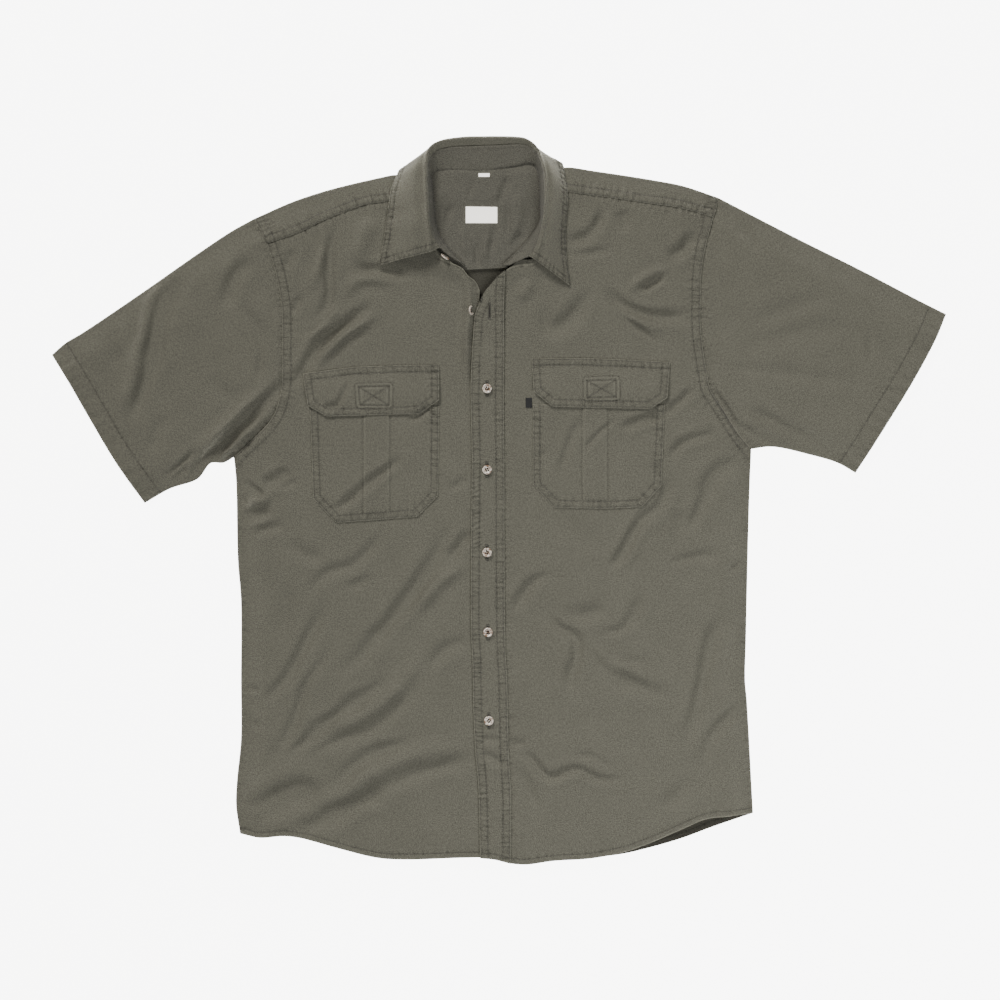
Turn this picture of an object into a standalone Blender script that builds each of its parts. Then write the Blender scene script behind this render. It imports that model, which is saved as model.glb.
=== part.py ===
"""Safari shirt with short sleeves, laid flat on its back and buttoned but for the neck.

The frame is the shirt's own: +X to the wearer's left, +Y to the collar and +Z up from the
surface it lies on. Sizes in the tables are millimetres, and SCALE turns them into metres.
The back, the yoke's back layer and the undersides of the sleeves lie on the surface. The
fronts, the yoke's front strips and the upper sleeves lie over them on one height field.
"""
import math

import bmesh
import bpy
import numpy as np
from mathutils import Matrix, Vector

SCALE = 0.001
NAME = "safari_shirt"

# Cloth and seams
UNDER = 1.0            # wall that lies on the surface
WALL = 1.2             # wall of the upper cloth
SEAM = 0.3             # gap between sewn pieces
LAYER = UNDER + SEAM   # where the upper cloth starts over the lower one
FOLD_INSET = 2.6       # width of the rounded edge where cloth turns back under itself
LOFT = 3.0             # air between the layers, away from the edges
LOFT_RUN = 45.0        # distance from an edge over which it is reached
LEAF_LIFT = 1.9        # how far the collar leaf under the neck lifts the yoke
PLACKET_WALL = 1.9
PLACKET_LIFT = 1.7     # placket's underside over the height field: the right front and a gap
HEAD_LIFT = 1.2        # more of it where the neckline lifts
POCKET_WALL = 1.0
FLAP_WALL = 1.2
PLEAT_RISE = 0.8
STAND_WALL = 1.2
BUTTON_RADIUS = 5.4
BUTTON_THICKNESS = 2.2

# Grid counts
YOKE_ROWS = 4          # along the armhole, on the yoke's strip
ARM_ROWS = 13          # along the armhole, on the front
SIDE_ROWS = 20
FRONT_COLUMNS = 14
SLEEVE_STEPS = 11
SHOULDER_STEPS = FRONT_COLUMNS
NECK_STEPS = 8
BACK_ROW = 6           # armhole step where the yoke's back layer meets the back panel
BACK_COLUMNS = 6

# Edges, seen from above
SHOULDER_RIGHT = [(-277, 317.5), (-234, 336.5), (-200, 348), (-166, 357), (-132, 364.5),
                  (-118, 367), (-106, 366), (-92, 366), (-79, 367.5)]
SHOULDER_LEFT = [(247.5, 341.5), (207, 355), (173, 361.5), (139, 367), (105, 372), (80, 375.5),
                 (67, 374.5), (56, 374), (45, 375)]
SLEEVE_TOP_RIGHT = [(-277, 317.5), (-301.5, 304), (-335.5, 281.5), (-403.5, 234),
                    (-471, 188.5), (-489.5, 177.5), (-505, 164)]
SLEEVE_TOP_LEFT = [(247.5, 341.5), (274.5, 327.5), (342.5, 292.5), (410, 259), (478, 223.5),
                   (505, 210)]
CUFF_RIGHT = [(-505, 164), (-487, 135.5), (-461, 90.5), (-434, 45), (-400, -3.5)]
CUFF_LEFT = [(505, 210), (492.5, 181), (468, 135.5), (440.5, 90.5), (402.5, 30.5)]
UNDERARM_RIGHT = [(-299.5, 48.5), (-311, 42), (-325.5, 41.5), (-340, 24), (-372, 12.5),
                  (-400, -3.5)]
UNDERARM_LEFT = [(285, 57.5), (303.5, 60), (317.5, 59), (347.5, 52), (382, 42), (402.5, 30.5)]
ARM_YOKE_RIGHT = [(-277, 317.5), (-269, 303), (-262, 288.5)]
ARM_YOKE_LEFT = [(247.5, 341.5), (246, 330), (242, 318.5)]
ARM_FRONT_RIGHT = [(-262, 288.5), (-254, 263.5), (-248.5, 239.5), (-245, 214.5),
                   (-244.5, 166), (-244.5, 141), (-246.5, 121), (-252, 100.5), (-261, 86),
                   (-278, 69), (-299.5, 48.5)]
ARM_FRONT_LEFT = [(242, 318.5), (232, 280.5), (228.5, 255), (227.5, 222.5), (227.5, 200),
                  (230, 172), (234.5, 144.5), (239, 123.5), (253, 103), (269, 77.5),
                  (285, 57.5)]
SIDE_RIGHT = [(-299.5, 48.5), (-297, 22.5), (-295, -68), (-291.5, -113), (-291.5, -203.5),
              (-291.5, -271), (-296, -316.5), (-297, -345), (-292.5, -376.5)]
SIDE_LEFT = [(285, 57.5), (283.5, 22.5), (281.5, -45), (279, -158), (278, -203.5),
             (280, -226), (285, -316.5), (287, -353.5)]
YOKE_SEAM_RIGHT = [(-262, 288.5), (-225, 301.5), (-196.5, 315.5), (-168.5, 326.5),
                   (-148, 333.5), (-123, 336.5), (-76.5, 343)]
YOKE_SEAM_LEFT = [(242, 318.5), (204.5, 329), (170.5, 334), (136.5, 339), (104, 343.5),
                  (77, 347), (48, 350)]
NECK_RIGHT = [(-76.5, 343), (-75.5, 326), (-74.5, 307), (-73, 290), (-69, 275), (-59, 268.5),
              (-47.5, 264.5), (-40.5, 260.5)]
EDGE_RIGHT = [(-40.5, 260.5), (-34.5, 252.5), (-27.5, 247.5), (-22, 237.5), (-22, 225),
              (-17, 205.5), (-8, 186.5), (1, 164), (3.5, 135.5), (3.5, 48)]
EDGE_RIGHT_LOW = [(3.5, 48), (3.5, -60), (5, -157), (7.5, -220), (9, -287), (11.5, -340),
                  (11.5, -402)]
NECK_LEFT = [(48, 350), (49.5, 333), (50.5, 314), (50, 294), (46.5, 277), (39, 266),
             (23.5, 264.5), (14.5, 262), (6.5, 259)]
PLACKET_RIGHT = [(6.5, 254), (5.5, 208), (6, 167), (5.5, 126.5), (6, 48)]
PLACKET_RIGHT_LOW = [(6, 48), (7, -157), (9, -200.5), (10, -243.5), (11, -287),
                     (13.5, -330), (13.5, -410)]
PLACKET_LEFT = [(-20, 225), (-22.5, 220), (-27, 209), (-29, 187.5), (-31, 157), (-32, 126.5),
                (-30.5, 48)]
PLACKET_LEFT_LOW = [(-30.5, 48), (-31.5, -59), (-31.5, -149), (-30, -178.5), (-29, -233),
                    (-26.5, -287), (-23.5, -319.5), (-21.5, -403.5)]
PLACKET_HEAD = [(-20, 225), (-16.5, 234), (-10, 242), (-3, 250), (6.5, 258.5)]
PLACKET_FOOT = [(-21.5, -403.5), (-4, -405.5), (13.5, -410)]
HEM_RIGHT = [(-292.5, -376.5), (-270, -381), (-244, -379), (-225, -381), (-181, -393),
             (-138, -403.5), (-109.5, -405.5), (-45, -403.5), (11.5, -402)]
HEM_LEFT = [(287, -353.5), (259, -357), (235, -359.5), (202.5, -373), (168.5, -387.5),
            (142.5, -396.5), (105, -404), (61, -407), (31.5, -411), (13.5, -410)]
BACK_SEAM = [(-140, 253), (-35, 259.5), (60, 264.5), (140, 270)]     # between the armholes
BACK_HEM = [(-292.5, -376.5), (-225, -378), (-138, -399), (-50, -401), (60, -403),
            (105, -403.5), (139, -400), (173, -392), (207, -382), (240.5, -369.5),
            (287, -353.5)]
BACK_NECK = [(-79, 367.5), (-72, 372.5), (-55, 373), (-22, 371.5), (2, 375), (24, 380),
             (38, 382), (45, 375)]

# Front neckline where it lifts off the body, as (x, y, lift)
LIP_RIGHT = [(-76, 335, 0), (-74, 305, 3), (-70, 278, 7), (-58, 268, 8.5), (-40, 260, 8),
             (-27, 247, 5.5), (-22, 232, 2.5), (-19, 205, 0.8), (-8, 186, 0)]
LIP_LEFT = [(49, 335, 0), (50, 300, 3), (46, 277, 6.5), (38, 266, 7.5), (15, 262, 7),
            (0, 252, 5.5), (-13, 238, 3.5), (-21, 222, 1.5), (-28, 195, 0)]
LIP_RUN = 24.0

# Largest folds, as (x, y) start, middle and end, half width and height. Troughs are negative.
FOLDS = [
    # right sleeve
    (-353, 255, -388, 185, -416, 87, 13, -1.8),
    (-370, 160, -352, 215, -322, 262, 13, 1.5),
    (-280, 277, -300, 245, -313, 215, 13, -1.2),
    (-252, 128, -308, 72, -352, 24, 13, -2.4),
    # right front
    (-138, 228, -206, 173, -240, 128, 13, -2.2),
    (-142, 211, -180, 184, -206, 162, 12, 1.5),
    (-183, 320, -191, 280, -195, 226, 14, -1.2),
    (-60, -23, -112, -115, -157, -170, 15, -2.2),
    (-33, -64, -70, -90, -100, -124, 14, 1.4),
    (-195, -102, -222, -163, -273, -228, 14, -1.8),
    (-123, -194, -190, -243, -253, -299, 14, -2.0),
    (-82, -158, -117, -209, -202, -260, 15, 1.4),
    (-33, -288, -132, -316, -223, -367, 16, -2.2),
    (-33, -277, -143, -305, -223, -336, 14, 1.2),
    (-208, -322, -258, -333, -279, -341, 15, -2.2),
    (-298, -13, -280, -12, -262, -8, 14, -2.0),
    # left front
    (117, 245, 150, 216, 216, 209, 14, -2.2),
    (46, 226, 62, 196, 106, 245, 14, -1.8),
    (72, 294, 98, 286, 112, 331, 13, -1.2),
    (219, 288, 205, 280, 190, 275, 14, -1.8),
    (235, 136, 262, 98, 286, 53, 13, -2.2),
    (231, 3, 242, 34, 272, 49, 15, -1.5),
    (167, -11, 137, -58, 122, -75, 14, -1.8),
    (252, -115, 230, -192, 207, -277, 16, -1.8),
    (278, -223, 250, -249, 233, -271, 14, -1.4),
    (9, -282, 54, -311, 145, -313, 14, -1.6),
    (49, -119, 83, -152, 86, -223, 14, -1.4),
    # left sleeve
    (264, 94, 291, 71, 319, 62, 13, -1.4),
    (272, 110, 317, 87, 371, 60, 13, -1.3),
]

# Pocket and flap outlines, convex, and the middle pleat
POCKET_RIGHT = [(-213, 106), (-67.5, 106), (-68.5, 5), (-92, -19), (-183.5, -26), (-209.5, 1.5)]
FLAP_RIGHT = [(-221, 142.5), (-164, 150), (-113.5, 152), (-67.5, 152.5), (-67.5, 112.5),
              (-89.5, 97), (-194.5, 94), (-215.5, 106.5)]
POCKET_LEFT = [(38, 108), (187, 108), (183, 16), (161, -8), (116.5, -10), (62, -8.5),
               (38, 17.5)]
FLAP_LEFT = [(37, 159.5), (92.5, 160), (137, 158.5), (193, 155.5), (189.5, 115),
             (170.5, 102.5), (60, 105), (39, 122)]
PLEAT_RIGHT = (-152.0, -124.5)
PLEAT_LEFT = (95.0, 121.0)
FLAP_SEAT_RIGHT = 116.0     # y below which the flap lies on the pocket
FLAP_SEAT_LEFT = 118.0

# Collar stand, right front end to left front end: seam x, y, z and top x, y, z
STAND = [
    (-37.5, 263.5, 5.5, -45, 268.5, 14.5), (-46.5, 272, 5.5, -56, 274, 15.5),
    (-55, 282, 5.5, -67, 281, 17), (-65, 295, 5.5, -74.5, 291, 20),
    (-71, 311, 5.2, -79.5, 311, 23), (-73.5, 333, 5.0, -81, 335.5, 24),
    (-75, 354, 4.8, -82, 358, 23), (-76, 368, 5.0, -82, 381, 20),
    (-71, 371, 4.0, -78, 396.5, 15), (-55, 371.5, 3.6, -60, 405.5, 9),
    (-24, 370.5, 3.6, -33, 408.5, 6), (2, 373.5, 3.6, 1, 409, 6),
    (23, 378, 3.6, 26, 408.5, 7), (37, 380.5, 4.0, 39.5, 401, 12),
    (43.5, 372, 5.0, 47, 387, 19), (46, 355, 4.8, 52, 364, 23),
    (46.5, 333, 5.0, 52, 339, 24), (46, 314, 5.0, 50.5, 314, 24),
    (34, 295, 5.2, 47.5, 290.5, 22), (23, 283, 5.5, 41, 274, 18),
    (14, 274, 5.5, 27, 268.5, 15.5), (3, 264, 5.5, 14, 264.5, 13.5),
]
STAND_STEPS = 42
LEAF_SEAM = 0.74            # share of the stand's height at which the leaf is sewn on

# Collar leaf, right point to left point: roll x, y, z, then edge x, y, z, and how far the leaf
# turns under (0 lies over the front, 1 lies under the back)
LEAF = [
    (-75.5, 279, 19, -136, 264, 7.0, 0), (-77, 290.5, 21, -131, 288, 7.0, 0),
    (-79.5, 311, 24, -127.5, 311, 6.8, 0), (-81, 335.5, 24.5, -124.5, 331, 6.6, 0),
    (-82, 358, 23.5, -121.5, 350, 6.6, 0), (-82, 381, 20.5, -116, 364, 6.4, 0),
    (-79, 394.5, 17, -111.5, 373, 4.6, 0.25), (-75, 399.5, 14, -106, 371.5, 2.0, 0.6),
    (-70, 402.5, 12, -100, 366, 0.75, 0.85),
    (-60, 405.4, 9.5, -85, 356, 0.6, 1), (-44, 407.4, 7.5, -62, 353, 0.6, 1),
    (-24, 408.2, 6.6, -33, 352.5, 0.6, 1), (1, 408.4, 6.6, 1, 352.5, 0.6, 1),
    (19, 407.9, 7.5, 26, 354.5, 0.6, 1), (30.5, 405.9, 9.5, 46, 359, 0.6, 1),
    (37, 402.5, 12, 57.5, 371, 0.75, 0.85), (41.5, 398, 14.5, 65, 379.5, 2.0, 0.6),
    (45.5, 390.5, 17.5, 71.5, 379.5, 4.8, 0.25),
    (48.5, 379.5, 21.5, 74.5, 366, 6.4, 0), (52, 364, 23.5, 77, 350, 6.6, 0),
    (52, 339, 24.5, 77, 333, 6.6, 0), (50, 314, 24.5, 75.5, 311, 6.8, 0),
    (47.5, 290.5, 22.5, 75.5, 280, 7.0, 0), (40.5, 270, 16.5, 81, 240.5, 7.0, 0),
]
LEAF_STEPS = 46
LEAF_FLOOR = 0.75           # lowest the middle of its cloth lies

# Buttons: x, y, and on the last two the height and the way they face
FRONT_BUTTONS = [(-13.5, 125.5), (-13.5, 34), (-13.5, -59), (-12.5, -149), (-11.5, -248.5)]
TURNED_BUTTONS = [("button_6", -32.2, 213.5, 10.3, (0.90, 0.05, 0.43)),
                  ("button_7", -61.4, 272.6, 12.0, (0.53, 0.80, 0.28))]
LABEL = [(-37.5, 331), (-2, 330.5), (-2, 312.5), (-37.5, 312.5)]
SIZE_TAB = (-16.8, 366.4, 12.5, 4.0)     # middle x, y, width, height
SIDE_TAB = (33.6, 109.5, 7.0, 11.0)
TRIM_WALL = 0.5

OLIVE = (0.152, 0.142, 0.109, 1.0)
OLIVE_DARK = (0.125, 0.117, 0.089, 1.0)
PEARL = (0.62, 0.50, 0.40, 1.0)
OFF_WHITE = (0.66, 0.63, 0.58, 1.0)
BLACK = (0.02, 0.02, 0.02, 1.0)


def smooth(t):
    t = np.clip(t, 0.0, 1.0)
    return t * t * (3.0 - 2.0 * t)


def spline(table, steps):
    """Points at even steps along a smooth curve through the table's points."""
    points = np.array(table, dtype=float)
    padded = np.vstack([2 * points[0] - points[1], points, 2 * points[-1] - points[-2]])
    fine = []
    for k in range(1, len(padded) - 2):
        a, b, c, d = padded[k - 1:k + 3]
        chord = [max(np.linalg.norm(q - p) ** 0.5, 1e-6) for p, q in ((a, b), (b, c), (c, d))]
        m1 = (c - b) - (c - a) * chord[1] / (chord[0] + chord[1]) + (b - a) * chord[1] / chord[0]
        m2 = (c - b) - (d - b) * chord[1] / (chord[1] + chord[2]) + (d - c) * chord[1] / chord[2]
        for t in np.arange(0.0, 1.0, 0.125):
            fine.append((2 * t ** 3 - 3 * t ** 2 + 1) * b + (t ** 3 - 2 * t ** 2 + t) * m1
                        + (-2 * t ** 3 + 3 * t ** 2) * c + (t ** 3 - t ** 2) * m2)
    fine.append(points[-1])
    fine = np.array(fine)
    run = np.concatenate([[0.0], np.cumsum(np.linalg.norm(np.diff(fine[:, :2], axis=0), axis=1))])
    ask = np.linspace(0.0, run[-1], steps + 1)
    return np.column_stack([np.interp(ask, run, fine[:, k]) for k in range(fine.shape[1])])


def chain(*parts):
    """Several curves end to end, each with its own number of steps."""
    sampled = [spline(table, steps) for table, steps in parts]
    return np.vstack([sampled[0]] + [s[1:] for s in sampled[1:]])


def resample(line, steps):
    run = np.concatenate([[0.0], np.cumsum(np.linalg.norm(np.diff(line, axis=0), axis=1))])
    ask = np.linspace(0.0, run[-1], steps + 1)
    return np.column_stack([np.interp(ask, run, line[:, k]) for k in range(line.shape[1])])


def shifted(line, distance):
    """A line moved sideways, to its left where the distance is positive."""
    ahead = np.gradient(line[:, :2], axis=0)
    ahead /= np.linalg.norm(ahead, axis=1)[:, None]
    out = line.copy()
    out[:, 0] -= ahead[:, 1] * distance
    out[:, 1] += ahead[:, 0] * distance
    return out


def coons(first, last, start, end):
    """Grid between two lines (rows run from first to last) with the ends of each row given.
    The corners are those of start and end."""
    rows, columns = len(start), len(first)
    first, last = first.copy(), last.copy()
    first[0], first[-1], last[0], last[-1] = start[0], end[0], start[-1], end[-1]
    v = np.linspace(0.0, 1.0, rows)[:, None, None]
    u = np.linspace(0.0, 1.0, columns)[None, :, None]
    ruled_v = (1 - v) * first[None] + v * last[None]
    ruled_u = (1 - u) * start[:, None] + u * end[:, None]
    corners = ((1 - u) * (1 - v) * first[0] + u * (1 - v) * first[-1]
               + (1 - u) * v * last[0] + u * v * last[-1])
    return ruled_v + ruled_u - corners


def nearest(xy, line):
    """Distance from each point to a line, and the place along it as a share of its length."""
    a, b = line[:-1, :2], line[1:, :2]
    span = b - a
    length = np.linalg.norm(span, axis=1)
    start = np.concatenate([[0.0], np.cumsum(length)])
    best = np.full(len(xy), 1e9)
    where = np.zeros(len(xy))
    for k in range(len(a)):
        t = np.clip(((xy - a[k]) @ span[k]) / max(length[k] ** 2, 1e-9), 0.0, 1.0)
        d = np.linalg.norm(xy - (a[k] + t[:, None] * span[k]), axis=1)
        closer = d < best
        best[closer] = d[closer]
        where[closer] = (start[k] + t[closer] * length[k]) / start[-1]
    return best, where


SILHOUETTE = [spline(table, 40) for table in (
    SHOULDER_RIGHT, SHOULDER_LEFT, SLEEVE_TOP_RIGHT, SLEEVE_TOP_LEFT, UNDERARM_RIGHT,
    UNDERARM_LEFT, SIDE_RIGHT, SIDE_LEFT)]
LIPS = [spline(table, 40) for table in (LIP_RIGHT, LIP_LEFT)]
FOLD_LINES = [(spline([f[0:2], f[2:4], f[4:6]], 12), f[6], f[7]) for f in FOLDS]


def yoke_lift(xy):
    """How far the collar leaf, folded under at the back, lifts what lies on it."""
    x, y = xy[:, 0], xy[:, 1]
    across = smooth((x + 150) / 30) * smooth((108 - x) / 30)
    return LEAF_LIFT * across * smooth((y - 322) / 26)


def height(xy):
    """Underside of the upper cloth over the surface, at each (x, y)."""
    flat = np.asarray(xy, dtype=float).reshape(-1, 2)
    edge = np.min([nearest(flat, line)[0] for line in SILHOUETTE], axis=0)
    loft = LOFT * smooth(edge / LOFT_RUN)
    for line, width, rise in FOLD_LINES:
        d, t = nearest(flat, line)
        q = d / width
        profile = np.exp(-q * q) - 0.30 * np.exp(-((q - 2.1) / 0.8) ** 2)
        loft += rise * profile * smooth(t / 0.25) * smooth((1 - t) / 0.25)
    loft = np.maximum(loft, 0.0) * smooth(edge / 14.0)
    for line in LIPS:
        d, t = nearest(flat, line)
        lift = np.interp(t, np.linspace(0, 1, len(line)), line[:, 2])
        loft = np.maximum(loft, lift * (1 - smooth(d / LIP_RUN)) + loft * smooth(d / LIP_RUN))
    return (yoke_lift(flat) + LAYER + loft).reshape(np.shape(xy)[:-1])


def lifted(grid, z):
    return np.dstack([grid, z])


def material(name, colour, roughness):
    mat = bpy.data.materials.new(name)
    mat.use_nodes = True
    shader = mat.node_tree.nodes["Principled BSDF"]
    shader.inputs["Base Color"].default_value = colour
    shader.inputs["Roughness"].default_value = roughness
    return mat


def add_object(name, bm, colour, roughness=0.9, smooth_shaded=True):
    bmesh.ops.recalc_face_normals(bm, faces=bm.faces[:])
    mesh = bpy.data.meshes.new(name)
    bm.to_mesh(mesh)
    bm.free()
    if smooth_shaded:
        mesh.shade_smooth()
        mesh.set_sharp_from_angle(angle=math.radians(40))
    mesh.materials.append(material(name + "_material", colour, roughness))
    obj = bpy.data.objects.new(name, mesh)
    parts.objects.link(obj)
    return obj


def grid_surface(surfaces, twins):
    """One triangulated surface from grids of points that share edges. Each vertex keeps the
    number of its twin, the point on the other face of the wall."""
    bm = bmesh.new()
    slot = bm.verts.layers.int.new("twin")
    far = []
    for points, twin in zip(surfaces, twins):
        rows, columns = points.shape[0] - 1, points.shape[1] - 1
        made = bmesh.ops.create_grid(bm, x_segments=columns, y_segments=rows, size=1.0)["verts"]
        for vert in made:
            j = round((vert.co.x + 1) / 2 * columns)
            i = round((vert.co.y + 1) / 2 * rows)
            vert.co = Vector(points[i, j]) * SCALE
            vert[slot] = len(far)
            far.append(Vector(twin[i, j]) * SCALE)
    bmesh.ops.remove_doubles(bm, verts=bm.verts[:], dist=2e-6)
    bmesh.ops.triangulate(bm, faces=bm.faces[:], quad_method="BEAUTY", ngon_method="BEAUTY")
    return bm, far


def wall(name, surfaces, twins, colour):
    """A closed wall between a surface and its twin."""
    bm, far = grid_surface(surfaces, twins)
    slot = bm.verts.layers.int["twin"]
    new = bmesh.ops.extrude_face_region(bm, geom=bm.faces[:], use_keep_orig=True)["geom"]
    for vert in [g for g in new if isinstance(g, bmesh.types.BMVert)]:
        vert.co = far[vert[slot]]
    return add_object(name, bm, colour)


def slab(name, grid, base, thickness, colour):
    """A panel over the height field, thickness upward."""
    return wall(name, [lifted(grid, base + thickness)], [lifted(grid, base)], colour)


def cut_to(bm, outline):
    """Keep what lies inside a convex outline."""
    middle = np.mean(outline, axis=0)
    for k in range(len(outline)):
        a, b = np.array(outline[k]), np.array(outline[(k + 1) % len(outline)])
        across = np.array([-(b - a)[1], (b - a)[0]])
        if across @ (middle - a) > 0:
            across = -across
        bmesh.ops.bisect_plane(bm, geom=bm.verts[:] + bm.edges[:] + bm.faces[:], dist=1e-7,
                               plane_co=(a[0] * SCALE, a[1] * SCALE, 0),
                               plane_no=(across[0], across[1], 0), clear_outer=True)


def score(bm, x=None, y=None):
    """Add a line of vertices along one x or one y."""
    co = ((x or 0) * SCALE, (y or 0) * SCALE, 0)
    no = (1, 0, 0) if y is None else (0, 1, 0)
    bmesh.ops.bisect_plane(bm, geom=bm.verts[:] + bm.edges[:] + bm.faces[:], dist=1e-7,
                           plane_co=co, plane_no=no)


def laid_on(name, panel, outline, gap, thickness, colour, lines=()):
    """A piece cut from a panel's own upper surface and moved out. gap and thickness are
    functions of x and y in millimetres."""
    bm, _ = grid_surface([panel], [panel])
    cut_to(bm, outline)
    for axis, value in lines:
        score(bm, **{axis: value})
    bmesh.ops.triangulate(bm, faces=bm.faces[:], quad_method="BEAUTY", ngon_method="BEAUTY")
    for vert in bm.verts:
        x, y = vert.co.x / SCALE, vert.co.y / SCALE
        vert.co.z += gap(x, y) * SCALE
    new = bmesh.ops.extrude_face_region(bm, geom=bm.faces[:], use_keep_orig=True)["geom"]
    for vert in [g for g in new if isinstance(g, bmesh.types.BMVert)]:
        vert.co.z += thickness(vert.co.x / SCALE, vert.co.y / SCALE) * SCALE
    return add_object(name, bm, colour)


def sleeve(name, arm, top, cuff, underarm, side):
    """A flat tube from the armhole to the cuff, folded along its top and underarm edges."""
    arm = shifted(arm, side * SEAM / 2)
    grid = coons(spline(top, SLEEVE_STEPS), spline(underarm, SLEEVE_STEPS), arm,
                 spline(cuff, len(arm) - 1)).transpose(1, 0, 2)
    base = height(grid)
    columns = grid.shape[1]
    outer, inner = [], []
    for i in range(grid.shape[0]):
        row, z = grid[i], base[i]
        first = row[0] + (row[1] - row[0]) / np.linalg.norm(row[1] - row[0]) * FOLD_INSET
        last = row[-1] + (row[-2] - row[-1]) / np.linalg.norm(row[-2] - row[-1]) * FOLD_INSET
        middle = (LAYER + WALL) / 2
        up = [(*row[j], z[j] + WALL) for j in range(1, columns - 1)]
        down = [(*row[j], 0.0) for j in range(columns - 2, 0, -1)]
        outer.append([(*row[0], middle)] + up + [(*row[-1], middle)] + down
                     + [(*row[0], middle)])
        up = [(*row[j], z[j]) for j in range(1, columns - 1)]
        down = [(*row[j], UNDER) for j in range(columns - 2, 0, -1)]
        inside = (LAYER + UNDER) / 2
        inner.append([(*first, inside)] + up + [(*last, inside)] + down + [(*first, inside)])
    return wall(name, [np.array(outer)], [np.array(inner)], OLIVE)


def back_seam(arm_right, arm_left, steps, shift):
    """The seam between yoke and back panel, from armhole to armhole."""
    coarse = spline([tuple(arm_right[BACK_ROW])] + BACK_SEAM + [tuple(arm_left[BACK_ROW])],
                    BACK_COLUMNS)
    return resample(coarse, steps) + np.array([0.0, shift])


def build_yoke(arm_right, arm_left):
    """Back layer, turned over the shoulders into the two front strips."""
    shoulder_r = spline(SHOULDER_RIGHT, SHOULDER_STEPS)
    shoulder_l = spline(SHOULDER_LEFT, SHOULDER_STEPS)
    back_neck = spline(BACK_NECK, NECK_STEPS)
    fold_line = np.vstack([shoulder_r, back_neck[1:], shoulder_l[::-1][1:]])
    yoke_arm_r, yoke_arm_l = arm_right[:YOKE_ROWS + 1], arm_left[:YOKE_ROWS + 1]
    seam = back_seam(arm_right, arm_left, len(fold_line) - 1, SEAM / 2)
    side_r = np.vstack([arm_right[:BACK_ROW], seam[0]])
    side_l = np.vstack([arm_left[:BACK_ROW], seam[-1]])
    back = coons(fold_line, seam, side_r, side_l)
    lift = yoke_lift(back.reshape(-1, 2)).reshape(back.shape[:2])
    middle = (LAYER + WALL) / 2
    outer_z, inner_z = lift.copy(), lift + UNDER
    inner = back.copy()
    for columns in (range(0, SHOULDER_STEPS + 1), range(SHOULDER_STEPS + NECK_STEPS,
                                                         len(fold_line))):
        for j in columns:
            outer_z[0, j] = lift[0, j] + middle
            inner_z[0, j] = lift[0, j] + (LAYER + UNDER) / 2
            inward = back[1, j] - back[0, j]
            inner[0, j] += inward / np.linalg.norm(inward) * FOLD_INSET
    surfaces = [lifted(back, outer_z)]
    twins = [lifted(inner, inner_z)]
    for fold, seam_table, arm, side in ((shoulder_r, YOKE_SEAM_RIGHT, yoke_arm_r, 1),
                                        (shoulder_l, YOKE_SEAM_LEFT, yoke_arm_l, -1)):
        edge = shifted(spline(seam_table, SHOULDER_STEPS), side * SEAM)
        edge[0] = arm[-1] + (0.0, SEAM)
        inner_end = np.linspace(fold[-1], edge[-1], YOKE_ROWS + 1)
        strip_arm = arm.copy()
        strip_arm[-1] = edge[0]
        strip = coons(fold, edge, strip_arm, inner_end)
        base = height(strip)
        top_z, low_z = base + WALL, base.copy()
        lower = strip.copy()
        lift_edge = yoke_lift(strip[0])
        top_z[0] = lift_edge + middle
        low_z[0] = lift_edge + (LAYER + UNDER) / 2
        start = 0 if side == 1 else len(fold_line) - 1
        for k in range(SHOULDER_STEPS + 1):
            lower[0, k] = inner[0, start + side * k]
        surfaces.append(lifted(strip, top_z))
        twins.append(lifted(lower, low_z))
    wall("yoke", surfaces, twins, OLIVE)
    return lifted(inner, inner_z)


def thick_sheet(name, rows, thickness, colour):
    """A loft through sections, thickened equally to both sides."""
    bm, _ = grid_surface([np.array(rows)], [np.array(rows)])
    obj = add_object(name, bm, colour)
    solid = obj.modifiers.new("wall", "SOLIDIFY")
    solid.thickness = thickness * SCALE
    solid.offset = 0.0
    solid.use_even_offset = True
    return obj


def stand_sections():
    table = spline(STAND, STAND_STEPS)
    rows = []
    for x0, y0, z0, x1, y1, z1 in table:
        low, top = np.array([x0, y0, z0]), np.array([x1, y1, z1])
        rows.append([low + (top - low) * t for t in np.linspace(0.0, LEAF_SEAM - 0.02, 4)])
    return rows, table


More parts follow.
